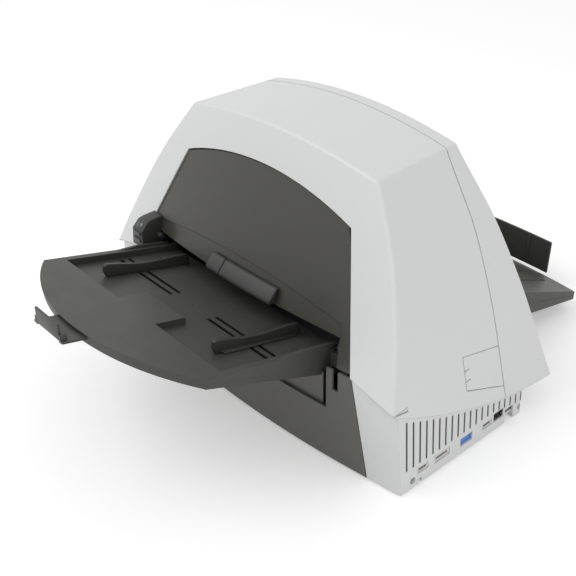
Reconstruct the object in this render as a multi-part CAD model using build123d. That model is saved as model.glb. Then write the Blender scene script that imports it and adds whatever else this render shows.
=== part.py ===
from build123d import *
import functools
import math
import os

# Document scanner for large sheets, in millimetres
# Frame: +X to the side with the ports, -Y to the input tray, +Z up, floor at Z = 0

# Driving dimensions of the casing
WALL = 3.0
SEAM = 1.2
FRONT_BOW = 1500.0
FRONT_Y = -84.1
FRONT_Z = 340.0
FRONT_SLOPE = 0.399
REAR_BOW = 3000.0
REAR_Y = 70.3
REAR_Z = 347.0
REAR_SLOPE = 0.3194
ROOF_Z = 361.0
ROOF_RISE = 0.035
SIDE_TAPER = 0.05
SIDE_PROFILE = (
    (303.0, 0.0), (290.5, 35.0), (265.6, 120.0), (251.4, 166.0),
    (232.3, 217.0), (208.1, 270.0), (185.5, 306.0), (162.5, 343.3),
)
CASING_ROUND = 5.0
COVER_SEAM_Y = 46.0
COVER_SEAM_LEAN = 0.027

# Skirt line, where the casing meets the base
SKIRT_FRONT = (-150.0, 120.0)
SKIRT_MID = (-2.5, 63.0)
SKIRT_REAR = (145.0, 35.0)
PILLAR_TOP = (209.0, 138.0)
PILLAR_FOOT = (273.0, 120.0)

# Base
BASE_FRONT_Y = -160.4
BASE_FRONT_SLOPE = -0.023
BASE_REAR_Y = 100.0
BASE_HALF = 282.5
BASE_LEAN = 0.09
BASE_FLOOR_Z = 10.0
BASE_WALL_FOOT_Z = 3.0
FOOT_HEIGHT = 2.0
FOOT_RADIUS = 9.0
FOOT_X = 256.0
FOOT_PADS = ((-121.0, -137.0, -105.0), (90.0, 80.0, 106.0))
BASE_RECESSES = ((-104.0, -97.0, 9.0), (62.0, 79.0, 22.0))

# Vent slots in the base's side walls
VENT_COUNT = 20
VENT_FIRST_Y = -123.3
VENT_PITCH = 11.5
VENT_WIDTH = 3.0
VENT_FOOT_Z = 31.0
VENT_HEAD_GAP = 7.5

# Front opening of the casing, right half, from its foot to its shoulder
OPENING_SIDE = ((209.0, 138.0), (201.5, 157.5), (194.0, 177.0), (179.0, 216.0), (163.5, 256.0))
OPENING_SHOULDER = (151.0, 287.0)
OPENING_TOP_Z = 314.0
COVER_GAP = 2.0
COVER_FOOT_Z = 172.0
COVER_LEG = ((178.0, 173.0), (187.0, 141.0), (240.0, 141.0), (240.0, 173.0))
COVER_BAND_SIDE = ((186.5, 162.0), (176.5, 187.0))
COVER_BAND_TOP_Z = 203.0
COVER_BAND_DEPTH = 1.5
COVER_WALL = 4.0
CHEEK_INSET = 7.5
COVER_RETURN = 12.0

# Hinge of the scanner cover
COVER_PIVOT_Y = -93.5
COVER_PIVOT_Z = 284.0
COVER_PIN_RADIUS = 1.4
KNUCKLE_X = 137.0
KNUCKLE_HALF = 3.0
KNUCKLE_RADIUS = 4.0
EAR_LOW_X = 128.0
EAR_HIGH_X = 132.0
EAR_RADIUS = 2.6
EAR_CLEARANCE = 0.5
COVER_OPEN_ANGLE = 45
SHOULDER_TRIM = (
    (170.0, 271.0), (155.2, 271.0), (152.6, 275.0), (150.6, 279.0), (149.1, 281.5), (147.9, 284.0),
    (146.8, 286.2), (144.6, 288.4), (143.4, 290.0), (170.0, 290.0),
)

# Release handle and gap release on the foot of the cover
HANDLE_X = (-18.0, 77.0)
GAP_RELEASE_X = (-45.0, -19.0)
HANDLE_SECTION = ((0.0, 193.0), (3.5, 192.5), (9.0, 181.0), (9.0, 177.0), (7.0, 174.5), (0.0, 174.5))
HANDLE_PROUD = 9.0
HANDLE_GAP = 0.8
HANDLE_PIVOT_Y = -143.2
HANDLE_PIVOT_Z = 191.2
HANDLE_PIN_RADIUS = 1.5

# Steel frame
PLATE_X = 172.0
PLATE_THICK = 2.0

# Paper path, from the feed rollers to the exit
PATH_Y = -100.0
PATH_Z = 148.0
PATH_SLOPE = 0.12
PATH_GAP = 0.3
SHAFT_RADIUS = 4.0
BUSH_RADIUS = 7.0
RUNNING_FIT = 0.05

# Input tray
TRAY_HALF = 165.0
TRAY_FRONT_Y = -316.0
TRAY_NOSE_Y = -374.0
TRAY_BACK_Y = -120.0
TRAY_FRONT_Z = 195.0
TRAY_SLOPE = 0.23
TRAY_RIM = ((-212.0, 0.0), (-184.0, 3.5), (-134.0, 3.5))
DISH_DEPTH = 9.0
DISH_HALF = 156.0
DISH_FRONT_Y = -290.0
ISLAND_HALF = 38.0
ISLAND_REAR_Y = -249.0
TRAY_SKIN = 3.0
TRAY_SPLIT_Z = 190.5
TRAY_SPLIT_SLOPE = 0.382
TRAY_CURTAIN_FOOT_Z = 62.0
RAIL_X = 187.0
RAIL_Y = -131.0
RAIL_RADIUS = 3.0

# Side guides
GUIDE_X = 108.0
GUIDE_THICK = 5.0
GUIDE_OUT = 38.0
GUIDE_IN = 70.0
GUIDE_FLANGE = 9.0
SLOT_Y = (-216.0, -204.0)
GUIDE_CREST = (
    (0.0, 8.0), (1.5, 16.5), (5.0, 18.5), (20.0, 17.0), (40.0, 14.0), (58.0, 12.6),
    (72.0, 12.6), (88.0, 14.0), (108.0, 15.5), (126.0, 15.5), (129.0, 12.0),
)
PINION_PIN = 1.6
RACK_DROP = 18.5
RACK_HEIGHT = 4.0

# Tray extension and its stop
EXT_HALF = 30.0
EXT_THICK = 3.0
EXT_REAR_Y = -266.0
STOP_Y = -400.0
STOP_HALF = 22.0
STOP_TOP_Z = 230.0

# Output tray
OUT_HALF = 185.0
OUT_BACK_Y = 166.0
OUT_END_Y = 361.0
OUT_NOSE_Y = 393.0
OUT_TOP_Z = 112.0
OUT_SLOPE = 0.40
OUT_FOOT_Z = 60.0
OUT_FOOT_SLOPE = 0.208
OUT_PIVOT_Y = 157.0
OUT_PIVOT_Z = 109.0
OUT_STOP_Y = 393.0
OUT_STOP_PIVOT = 6.0
CARRIAGE_LENGTH = 26.6
CARRIAGE_BEHIND_PIVOT = 5.4
OUT_STOP_HALF = 118.0
OUT_STOP_TOP_Z = 79.0

FAR = 700.0


def lift(axis, a, b, offset):
    """Point in space from two plane coordinates and the distance along an axis."""
    if axis == "X":
        return (offset, a, b)
    if axis == "Y":
        return (a, offset, b)
    return (a, b, offset)


def prism(axis, points, low, high):
    """Straight solid with a polygon outline, between two planes across an axis."""
    outline = Polyline(*[lift(axis, a, b, low) for a, b in points], close=True)
    return extrude(make_face(outline), amount=high - low, dir=lift(axis, 0, 0, 1))


def block(x0, x1, y0, y1, z0, z1):
    """Box between two opposite corners."""
    centre = Pos((x0 + x1) / 2, (y0 + y1) / 2, (z0 + z1) / 2)
    return centre * Box(x1 - x0, y1 - y0, z1 - z0)


def rod(axis, radius, low, high, a, b):
    """Round bar along an axis, between two planes, at plane coordinates a and b."""
    middle = (low + high) / 2
    bar = Cylinder(radius, high - low)
    if axis == "X":
        return Pos(middle, a, b) * Rot(0, 90, 0) * bar
    if axis == "Y":
        return Pos(a, middle, b) * Rot(90, 0, 0) * bar
    return Pos(a, b, middle) * bar


def both_sides(shape):
    """A shape and its mirror image across the middle of the scanner."""
    return [shape, mirror(shape, about=Plane.YZ)]


def casing_section(y, inset):
    """Front view outline of the casing at a depth, moved inwards by inset."""
    side = [(half - SIDE_TAPER * y - inset * 1.12, y, z) for half, z in SIDE_PROFILE]
    shoulder_x, _, shoulder_z = side[-1]
    side[-1] = (shoulder_x, y, shoulder_z + ROOF_RISE * y - inset)
    mirrored = [(-x, y_point, z) for x, y_point, z in reversed(side)]
    roof = ThreePointArc(side[-1], (0, y, ROOF_Z + ROOF_RISE * y - inset), mirrored[0])
    return make_face([Spline(*side), roof, Spline(*mirrored), Line(mirrored[-1], side[0])])


def bowed(radius, y_middle, z_middle, slope, inset, facing):
    """Leaning cylinder whose near side is a bowed front (facing -1) or rear (facing 1) wall."""
    lean = math.atan(slope)
    true_radius = radius / math.cos(lean)
    centre_y = y_middle - facing * true_radius / math.cos(lean)
    turn = math.degrees(lean) * facing
    return Pos(0, centre_y, z_middle) * Rot(turn, 0, 0) * Cylinder(true_radius - inset, 3 * true_radius)


@functools.lru_cache(maxsize=None)
def casing(inset):
    """Solid volume of the casing, moved inwards by inset."""
    ends = 260.0
    middle_z = 170.0
    hull = loft([casing_section(-ends, inset), casing_section(ends, inset)], ruled=True)
    front_y = FRONT_Y - FRONT_SLOPE * (FRONT_Z - middle_z)
    rear_y = REAR_Y + REAR_SLOPE * (REAR_Z - middle_z)
    front = bowed(FRONT_BOW, front_y, middle_z, FRONT_SLOPE, inset, -1)
    rear = bowed(REAR_BOW, rear_y, middle_z, REAR_SLOPE, inset, 1)
    return hull & front & rear


def below_skirt():
    """Everything under the line where the casing meets the base."""
    front_point = (0, *SKIRT_FRONT)
    rear_point = (0, *SKIRT_REAR)
    edges = [
        Line((0, -FAR, -FAR), (0, -FAR, SKIRT_FRONT[1])),
        Line((0, -FAR, SKIRT_FRONT[1]), front_point),
        ThreePointArc(front_point, (0, *SKIRT_MID), rear_point),
        Line(rear_point, (0, FAR, SKIRT_REAR[1])),
        Line((0, FAR, SKIRT_REAR[1]), (0, FAR, -FAR)),
        Line((0, FAR, -FAR), (0, -FAR, -FAR)),
    ]
    under = extrude(make_face(edges), amount=FAR, dir=(1, 0, 0), both=True)
    top_x, top_z = PILLAR_TOP
    foot_x, foot_z = PILLAR_FOOT
    pillar = [(-foot_x, 60), (foot_x, 60), (foot_x, foot_z), (top_x, top_z), (-top_x, top_z), (-foot_x, foot_z)]
    return under + prism("Y", pillar, -FAR, -122.0)


def opening_face(y, grow):
    """Outline of the casing's front opening, made larger by grow, down to below its foot."""
    side = [(x + grow, y, z) for x, z in OPENING_SIDE]
    foot = (side[0][0], y, 60.0)
    shoulder = (OPENING_SHOULDER[0] + grow * 0.5, y, OPENING_SHOULDER[1] + grow)
    curve = Spline(*side, shoulder)
    left = [(-x, y_point, z) for x, y_point, z in [*side, shoulder]]
    top = ThreePointArc(shoulder, (0, y, OPENING_TOP_Z + grow), left[-1])
    mirrored = Spline(*reversed(left))
    left_foot = (-foot[0], y, foot[2])
    sides = [Line(foot, side[0]), curve, top, mirrored, Line(left[0], left_foot), Line(left_foot, foot)]
    return make_face(sides)


def opening_prism(grow):
    """Straight solid through the front opening."""
    return extrude(opening_face(-260.0, grow), amount=200.0, dir=(0, 1, 0))


def seam_y(z):
    """Y of the seam between the front casing and the rear cover."""
    return COVER_SEAM_Y + COVER_SEAM_LEAN * (REAR_Z - z)


def before_seam(shift):
    """Everything in front of the rear cover's seam, moved back by shift."""
    points = [(-FAR, -FAR), (seam_y(-FAR) + shift, -FAR), (seam_y(FAR) + shift, FAR), (-FAR, FAR)]
    return prism("X", points, -FAR, FAR)


def path_z(y):
    """Height of the paper path."""
    return PATH_Z - PATH_SLOPE * (y - PATH_Y)


# Side access door, as (y, z) corners in the right wall of the front casing
DOOR = ((-18.0, 133.0), (seam_y(118.0), 118.0), (seam_y(64.0), 64.0), (-18.5, 90.0))


DOOR_GAP = 0.9
DOOR_THICK = 2.0
LATCH_Z = (101.5, 114.5)
LATCH_Y = -8.5
LATCH_GAP = 1.2


def door_prism(shrink):
    """Solid through the side access door's place, smaller by shrink on its free edges."""
    top_left, top_right, low_right, low_left = DOOR
    points = [
        (top_left[0] + shrink, top_left[1] - shrink), (top_right[0] - SEAM / 2, top_right[1] - shrink),
        (low_right[0] - SEAM / 2, low_right[1] + shrink), (low_left[0] + shrink, low_left[1] + shrink),
    ]
    return prism("X", points, 200.0, 340.0)


def casing_parts():
    """Front casing, rear cover and side access door."""
    outer = casing(0)
    sharp = outer.edges().filter_by(lambda edge: edge.length > 100 and edge.center().Z > 100)
    outer = fillet(sharp, CASING_ROUND)
    skin = outer - casing(WALL)
    skin = skin - below_skirt()
    lip_band = casing(0.4) - casing(8.0)
    lip = lip_band & (opening_prism(WALL) - opening_prism(0))
    lip = lip - below_skirt()
    front = skin & before_seam(-SEAM / 2)
    front = front - opening_prism(0) + lip
    door = (front & door_prism(DOOR_GAP)) - casing(DOOR_THICK)
    front = front - door_prism(0.0)
    for z in LATCH_Z:
        door = door - block(200, 340, -20, LATCH_Y, z - LATCH_GAP / 2, z + LATCH_GAP / 2)
    ledge = (casing(WALL) - casing(WALL + 2.0)) & (door_prism(-5.0) - door_prism(4.0)) & before_seam(-6.0)
    front = front + ledge
    rear = skin - before_seam(SEAM / 2)
    slot = block(-OUT_HALF + 7, OUT_HALF - 7, 100, 240, 52, 150)
    rear = rear - slot
    return {"front_casing": front, "rear_cover": rear, "side_access_door": door}


def base_body(inset):
    """Solid volume of the base, moved inwards by inset."""
    half = BASE_HALF - inset
    top = 160.0
    outline = [(-half, 0), (half, 0), (half - BASE_LEAN * top, top), (-half + BASE_LEAN * top, top)]
    front = bowed(FRONT_BOW, BASE_FRONT_Y, 0.0, BASE_FRONT_SLOPE, inset, -1)
    return prism("Y", outline, -240.0, BASE_REAR_Y - inset) & front


def panel_prism(grow):
    """Solid through the front panel's place, made larger by grow."""
    points = [(-235 - grow, 3 - grow), (235 + grow, 3 - grow), (209 + grow, 137.0), (-209 - grow, 137.0)]
    return prism("Y", points, -240.0, -120.0)


def skirt_z(y):
    """Height of the skirt line, on the parabola through its three points."""
    (y0, z0), (y2, z2) = SKIRT_FRONT, SKIRT_REAR
    share = (min(max(y, y0), y2) - y0) / (y2 - y0)
    bend = SKIRT_MID[1] - (z0 + z2) / 2
    return z0 + (z2 - z0) * share + 4 * bend * share * (1 - share)


def base_parts():
    """Base tub, its front panel and feet."""
    outer = base_body(0)
    corners = outer.edges().filter_by(lambda edge: edge.length > 100).filter_by(Axis.Z, tolerance=12)
    outer = fillet(corners, 8.0)
    under = Pos(0, 0, -1.0) * below_skirt()
    skin = (outer - base_body(WALL)) & under
    skin = skin - block(-FAR, FAR, -FAR, FAR, -10, BASE_WALL_FOOT_Z)
    floor = base_body(WALL) & block(-FAR, FAR, -FAR, FAR, BASE_FLOOR_Z, BASE_FLOOR_Z + WALL)
    shelf = casing(WALL + 0.8) & block(-275, 275, BASE_REAR_Y - WALL, 160, 31, 34)
    tub = skin + floor + shelf
    for low_y, high_y, top_z in BASE_RECESSES:
        for recess in both_sides(block(240, 300, low_y, high_y, -10, top_z)):
            tub = tub - (recess - floor)
    for x in (-FOOT_X, FOOT_X):
        for _, low_y, high_y in FOOT_PADS:
            pad = block(x - 26, x + 26, low_y, high_y, FOOT_HEIGHT, BASE_FLOOR_Z + 1) & outer
            tub = tub + pad
    tub = tub - panel_prism(1.2)
    ledge = (base_body(WALL + 0.2) - base_body(WALL + 2.4)) & (panel_prism(6.0) - panel_prism(-4.0))
    ledge = ledge & block(-FAR, FAR, -FAR, FAR, BASE_FLOOR_Z, 132)
    tub = tub + ledge
    for index in range(VENT_COUNT):
        y = VENT_FIRST_Y + index * VENT_PITCH
        head = skirt_z(y) - VENT_HEAD_GAP
        foot = VENT_FOOT_Z if head - VENT_FOOT_Z > 14 else head - 14
        slot = block(240, 300, y - VENT_WIDTH / 2, y + VENT_WIDTH / 2, foot, head)
        for cut in both_sides(slot):
            tub = tub - cut
    for _, y0, y1, z0, z1 in PORTS:
        tub = tub - block(262, 300, y0 - 0.4, y1 + 0.4, z0 - 0.4, z1 + 0.4)
    for y in (-113, 93):
        tub = tub - rod("X", 4.5, 272, 300, y, 12.0)
    panel = (base_body(0) - base_body(WALL)) & panel_prism(0)
    panel = panel - block(-TRAY_HALF - 9, TRAY_HALF + 9, -240, -120, 78, 200)
    for x in (-RAIL_X, RAIL_X):
        panel = panel - block(x - 4, x + 4, -240, -120, 109, 200)
    feet = []
    for x in (-FOOT_X, FOOT_X):
        for y, _, _ in FOOT_PADS:
            feet.append(rod("Z", FOOT_RADIUS, 0, FOOT_HEIGHT, x, y))
    return {"base_tub": tub, "front_panel": panel, "rubber_feet": Compound(children=feet)}


# Sockets along the foot of the right wall, as name, y from and to, z from and to
PORTS = (
    ("accessory_socket", -104.0, -86.0, 17.0, 25.0),
    ("interface_socket", -74.0, -47.0, 15.0, 25.0),
    ("video_socket", -26.0, -4.0, 13.0, 24.0),
    ("serial_socket", 17.0, 35.0, 15.0, 23.0),
    ("power_inlet", 39.0, 58.0, 15.0, 27.0),
)


def port_parts():
    """One socket for each opening in the foot of the right wall."""
    parts = {}
    for name, y0, y1, z0, z1 in PORTS:
        shell = block(264, BASE_HALF - 3.2, y0, y1, z0, z1)
        mouth = block(268, 300, y0 + 2, y1 - 2, z0 + 2, z1 - 2)
        tongue = block(266, BASE_HALF - 5, y0 + 4, y1 - 4, (z0 + z1) / 2 - 0.8, (z0 + z1) / 2 + 0.8)
        parts[name] = shell - mouth + tongue
    return parts


def cheek_parts():
    """Dark cheeks at the two ends of the feed throat."""
    band = casing(CHEEK_INSET) - casing(CHEEK_INSET + WALL)
    region = block(TRAY_HALF + 11, 240, -220, -100, 139.5, COVER_FOOT_Z - 2) & opening_prism(-COVER_GAP)
    cheek = band & region
    cheek = cheek - block(TRAY_HALF, RAIL_X + 7, -220, -90, 130, 158.5)
    bridge = block(TRAY_HALF + 11, 197, -146, -118, 160, 163) & casing(CHEEK_INSET)
    tongue = block(PLATE_X, 176.5, -130, -104, 160, 163)
    right = cheek + bridge + tongue
    return {"throat_cheeks": Compound(children=both_sides(right))}


def cover_parts():
    """Scanner cover with its hinge arms."""
    outline = opening_prism(-COVER_GAP)
    inner = opening_prism(-COVER_GAP - 3.0)
    legs = both_sides(prism("Y", COVER_LEG, -FAR, FAR))
    above = block(-FAR, FAR, -FAR, FAR, COVER_FOOT_Z, FAR) + legs[0] + legs[1]
    plate = (casing(2.0) - casing(2.0 + COVER_WALL)) & outline & above
    (foot_x, foot_z), (end_x, end_z) = COVER_BAND_SIDE
    band = extrude(
        make_face([
            Line((-foot_x, -FAR, foot_z), (foot_x, -FAR, foot_z)),
            Line((foot_x, -FAR, foot_z), (end_x, -FAR, end_z)),
            ThreePointArc((end_x, -FAR, end_z), (0, -FAR, COVER_BAND_TOP_Z), (-end_x, -FAR, end_z)),
            Line((-end_x, -FAR, end_z), (-foot_x, -FAR, foot_z)),
        ]),
        amount=FAR, dir=(0, 1, 0),
    )
    plate = plate - ((casing(0) - casing(2.0 + COVER_BAND_DEPTH)) & band)
    returns = (casing(3.0) - casing(COVER_RETURN)) & (outline - inner)
    returns = returns & block(-FAR, FAR, -FAR, FAR, COVER_FOOT_Z, 282)
    cover = plate + returns
    for z in (200, 240):
        rib = (casing(5.0) - casing(11.0)) & block(-150, 150, -200, -60, z - 1.2, z + 1.2)
        cover = cover + rib
    for trim in both_sides(prism("Y", SHOULDER_TRIM, -200.0, -60.0)):
        cover = cover - trim
    for side in (-1, 1):
        low, high = sorted((side * (EAR_LOW_X - 0.6), side * (EAR_HIGH_X + 0.6)))
        pivot = Pos(0, COVER_PIVOT_Y, COVER_PIVOT_Z)
        reach = EAR_RADIUS + EAR_CLEARANCE
        for angle in range(0, COVER_OPEN_ANGLE + 1, 9):
            swept = block(low, high, 0, 12, -reach, reach) + rod("X", reach, low, high, 0, 0)
            cover = cover - pivot * Rot(angle, 0, 0) * swept
        x = side * KNUCKLE_X
        cover = cover + rod("X", KNUCKLE_RADIUS, x - KNUCKLE_HALF, x + KNUCKLE_HALF, COVER_PIVOT_Y, COVER_PIVOT_Z)
        cover = cover - rod("X", COVER_PIN_RADIUS + RUNNING_FIT, x - 10, x + 10, COVER_PIVOT_Y, COVER_PIVOT_Z)
    return {"scanner_cover": cover}


def handle_parts():
    """Release handle and gap release on the foot of the scanner cover."""
    section = [(FRONT_Y - FRONT_SLOPE * (FRONT_Z - z) - proud, z) for proud, z in HANDLE_SECTION]
    inner = [(y + 30.0, z) for y, z in (section[-1], section[0])]
    body = casing(2.0 - HANDLE_PROUD) - casing(2.0 - HANDLE_GAP)
    handle = body & prism("X", section + inner, *HANDLE_X)
    pin = rod("X", HANDLE_PIN_RADIUS, HANDLE_X[0] + 3, HANDLE_X[1] - 3, HANDLE_PIVOT_Y, HANDLE_PIVOT_Z)
    handle = handle + pin
    release = body & prism("X", section + inner, *GAP_RELEASE_X)
    return {"cover_release_handle": handle, "gap_release": release}


def frame_parts():
    """Steel side plates, cross beams and hinge brackets."""
    plate_outline = [
        (-104, 14), (-104, 150), (-78, 284), (44, 284), (62, 250), (104, 150), (140, 122), (152, 117), (163, 114.5),
        (163, 103.5), (150, 100), (120, 49), (95, 42), (94, 14),
    ]
    right = prism("X", plate_outline, PLATE_X, PLATE_X + PLATE_THICK)
    for y, z, *_ in ROLLERS.values():
        right = right - rod("X", BUSH_RADIUS, PLATE_X - 5, PLATE_X + 5, y, z)
    right = right - rod("X", 6.0, PLATE_X - 5, PLATE_X + 5, MOTOR_Y, MOTOR_Z)
    right = right - rod("X", 3.0, PLATE_X - 5, PLATE_X + 5, OUT_PIVOT_Y, OUT_PIVOT_Z)
    right = right - block(PLATE_X - 5, PLATE_X + 5, -60, 20, 190, 250)
    parts = {"side_plate_right": right, "side_plate_left": mirror(right, about=Plane.YZ)}
    beams = [
        block(-PLATE_X, PLATE_X, -76, -72, 262, 280),
        block(-PLATE_X, PLATE_X, 30, 50, 276, 279),
        block(-PLATE_X, PLATE_X, -60, 60, 34, 37),
    ]
    parts["cross_beams"] = Compound(children=beams)
    ear = block(EAR_LOW_X, EAR_HIGH_X, COVER_PIVOT_Y, -76, COVER_PIVOT_Z - EAR_RADIUS, COVER_PIVOT_Z + EAR_RADIUS)
    ear = ear + rod("X", EAR_RADIUS, EAR_LOW_X, EAR_HIGH_X, COVER_PIVOT_Y, COVER_PIVOT_Z)
    ear = ear - rod("X", COVER_PIN_RADIUS, 120, 140, COVER_PIVOT_Y, COVER_PIVOT_Z)
    foot = block(118, 142, -78, -76, COVER_PIVOT_Z - 18, COVER_PIVOT_Z + EAR_RADIUS)
    parts["cover_hinge_brackets"] = Compound(children=both_sides(ear + foot))
    pin = rod("X", COVER_PIN_RADIUS, EAR_LOW_X - 0.4, KNUCKLE_X + KNUCKLE_HALF + 0.6, COVER_PIVOT_Y, COVER_PIVOT_Z)
    parts["cover_hinge_pins"] = Compound(children=both_sides(pin))
    return parts


def roller_row(y, way, tyre_radius, tyre_half, count, reach):
    """Axis and tyres of a roller above (way 1) or below (way -1) the paper path."""
    return (y, path_z(y) + way * (tyre_radius + PATH_GAP), tyre_radius, tyre_half, count, reach)


# Rollers as axis y and z, tyre radius, half width and count, and reach of the outer tyres
ROLLERS = {
    "feed_roller": roller_row(-86.0, 1, 12.0, 14.0, 3, 60.0),
    "separation_roller": roller_row(-86.0, -1, 12.0, 14.0, 3, 60.0),
    "entry_drive_roller": roller_row(-48.0, -1, 10.0, 9.0, 4, 120.0),
    "entry_pinch_roller": roller_row(-48.0, 1, 8.0, 9.0, 4, 120.0),
    "middle_drive_roller": roller_row(52.0, -1, 10.0, 9.0, 4, 120.0),
    "middle_pinch_roller": roller_row(52.0, 1, 8.0, 9.0, 4, 120.0),
    "exit_drive_roller": roller_row(118.0, -1, 10.0, 9.0, 4, 120.0),
    "exit_pinch_roller": roller_row(118.0, 1, 8.0, 9.0, 4, 120.0),
}


def tyre_places(count, reach):
    """Evenly spread places along a shaft, the outer ones at plus and minus reach."""
    return [-reach + 2 * reach * index / (count - 1) for index in range(count)]


def ring(outer, inner, low, high, y, z):
    """Ring around an axis along X."""
    return rod("X", outer, low, high, y, z) - rod("X", inner, low, high, y, z)


def roller_parts():
    """Shafts of the paper path with their tyres and bushes."""
    parts = {}
    bushes = []
    for name, (y, z, tyre_radius, tyre_half, count, reach) in ROLLERS.items():
        driven = name in DRIVEN
        left_end = -PLATE_X - (16.0 if driven else 5.0)
        pieces = [rod("X", SHAFT_RADIUS, left_end, PLATE_X + 5.0, y, z)]
        for x in tyre_places(count, reach):
            pieces.append(ring(tyre_radius, SHAFT_RADIUS, x - tyre_half, x + tyre_half, y, z))
        if driven:
            pieces.append(ring(PULLEY_RADIUS, SHAFT_RADIUS, PULLEY_LOW_X, PULLEY_HIGH_X, y, z))
        parts[name] = Compound(children=pieces)
        for x in (-PLATE_X - 3.0, PLATE_X - 1.0):
            bushes.append(ring(BUSH_RADIUS, SHAFT_RADIUS + RUNNING_FIT, x, x + 4.0, y, z))
    parts["shaft_bushes"] = Compound(children=bushes)
    return parts


# Rollers with a pulley on the left, and the motor's own pulley below them
DRIVEN = ("separation_roller", "entry_drive_roller", "middle_drive_roller", "exit_drive_roller")
MOTOR_Y = 0.0
MOTOR_Z = 62.0
PULLEY_RADIUS = 9.0
PULLEY_LOW_X = -187.0
PULLEY_HIGH_X = -178.0


def drive_parts():
    """Motor, pulleys and drive belt outside the left side plate."""
    parts = {}
    motor = rod("X", 21.0, PLATE_X * -1 + 2.0, -PLATE_X + 46.0, MOTOR_Y, MOTOR_Z)
    motor = motor + rod("X", 9.0, -PLATE_X, -PLATE_X + 3.0, MOTOR_Y, MOTOR_Z)
    motor = motor - rod("X", 3.0 + RUNNING_FIT, -PLATE_X - 5, -PLATE_X + 42, MOTOR_Y, MOTOR_Z)
    parts["drive_motor"] = motor
    spindle = rod("X", 3.0, -190.0, -PLATE_X + 40, MOTOR_Y, MOTOR_Z)
    pulley = rod("X", PULLEY_RADIUS, PULLEY_LOW_X, PULLEY_HIGH_X, MOTOR_Y, MOTOR_Z)
    pulley = pulley - rod("X", 3.0, -200, -170, MOTOR_Y, MOTOR_Z)
    parts["motor_pulley"] = Compound(children=[spindle, pulley])
    centres = [(MOTOR_Y, MOTOR_Z)] + [ROLLERS[name][:2] for name in DRIVEN]
    parts["drive_belt"] = belt_around(centres)
    return parts


def belt_around(centres):
    """Flat belt stretched around circles of the pulleys' size."""
    def loop(radius):
        circles = [Pos(y, z) * Circle(radius) for y, z in centres]
        edges = [edge for circle in circles for edge in circle.edges()]
        return make_hull(edges)
    low = PULLEY_LOW_X + 1.5
    width = PULLEY_HIGH_X - PULLEY_LOW_X - 3.0
    flat = extrude(loop(PULLEY_RADIUS + 1.6) - loop(PULLEY_RADIUS + 0.1), amount=width)
    return Pos(low, 0, 0) * Plane.YZ.location * flat


def camera_parts():
    """Scan cameras above and below the paper path, each with its glass."""
    parts = {}
    boards = []
    for name, way, y in (("lower_camera", -1, -4.0), ("upper_camera", 1, 4.0)):
        near = path_z(y) + way * 4.0
        far = near + way * 46.0
        low, high = min(near, far), max(near, far)
        body = block(-158, 158, y - 26, y + 26, low, high)
        hollow_low, hollow_high = (low + 2.0, high - 3.0) if way < 0 else (low + 3.0, high - 2.0)
        body = body - block(-156, 156, y - 24, y + 24, hollow_low, hollow_high)
        glass_low, glass_high = (high - 3.0, high) if way < 0 else (low, low + 3.0)
        window = block(-152, 152, y - 9, y + 9, glass_low, glass_high)
        body = body - window
        for x in (-165, 165):
            lug = block(x - 7, x + 7, y - 12, y + 12, low + 10, low + 14)
            body = body + lug
        parts[name + "_housing"] = body
        parts[name + "_glass"] = window
        boards.append(block(-156, 156, y - 20, y + 20, low + 20, low + 21.6))
    parts["camera_boards"] = Compound(children=boards)
    return parts


def electronics_parts():
    """Controller board, power supply and fan."""
    parts = {}
    board = block(180, 181.6, -70, 50, 40, 200)
    for y in (-64, 44):
        for z in (46, 194):
            board = board + block(PLATE_X + PLATE_THICK, 180, y - 3, y + 3, z - 3, z + 3)
    parts["controller_board"] = board
    supply = block(-258, -198, -96, 54, BASE_FLOOR_Z + WALL, 62)
    parts["power_supply"] = supply
    fan_frame = block(206, 221, -60, 20, BASE_FLOOR_Z + WALL, 93)
    fan_frame = fan_frame - rod("X", 36.0, 200, 225, -20, 53)
    hub = rod("X", 12.0, 206, 209, -20, 53)
    spokes = block(206, 208, -58, 18, 51, 55) + block(206, 208, -22, -18, 15, 91)
    parts["fan_frame"] = fan_frame + hub + spokes
    wheel = rod("X", 13.0, 209.4, 219, -20, 53)
    blade_count = 7
    for index in range(blade_count):
        blade = Pos(0, 0, 22) * Rot(0, 0, 35) * Box(9, 1.6, 24)
        turned = Pos(214.5, -20, 53) * Rot(360 * index / blade_count, 0, 0) * blade
        wheel = wheel + turned
    parts["fan_wheel"] = wheel & rod("X", 35.0, 209.4, 220.5, -20, 53)
    return parts


def floor_z(y):
    """Height of the input tray's floor."""
    return TRAY_FRONT_Z + TRAY_SLOPE * (TRAY_FRONT_Y - y)


def split_z(y):
    """Height of the split between the input tray's two shells, which runs along the floor at the nose."""
    return min(TRAY_SPLIT_Z - TRAY_SPLIT_SLOPE * (y - TRAY_FRONT_Y), floor_z(y) - TRAY_FRONT_Z + TRAY_SPLIT_Z)


def tray_plan(shrink, low, high, back=TRAY_BACK_Y):
    """Straight upright solid with the input tray's plan outline."""
    half = TRAY_HALF - shrink
    front = TRAY_FRONT_Y + shrink
    nose = TRAY_NOSE_Y + shrink
    edges = [
        Line((-half, front, low), (-half, back, low)), Line((-half, back, low), (half, back, low)),
        Line((half, back, low), (half, front, low)),
        ThreePointArc((half, front, low), (0, nose, low), (-half, front, low)),
    ]
    return extrude(make_face(edges), amount=high - low, dir=(0, 0, 1))


def between(y0, y1, top_line, low_line):
    """Slab across the scanner between two lines, each a function of Y that may bend at the tray's front."""
    stations = [y0, TRAY_FRONT_Y, y1] if y0 < TRAY_FRONT_Y < y1 else [y0, y1]
    low = [(y, low_line(y)) for y in stations]
    high = [(y, top_line(y)) for y in reversed(stations)]
    return prism("X", low + high, -FAR, FAR)


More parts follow.
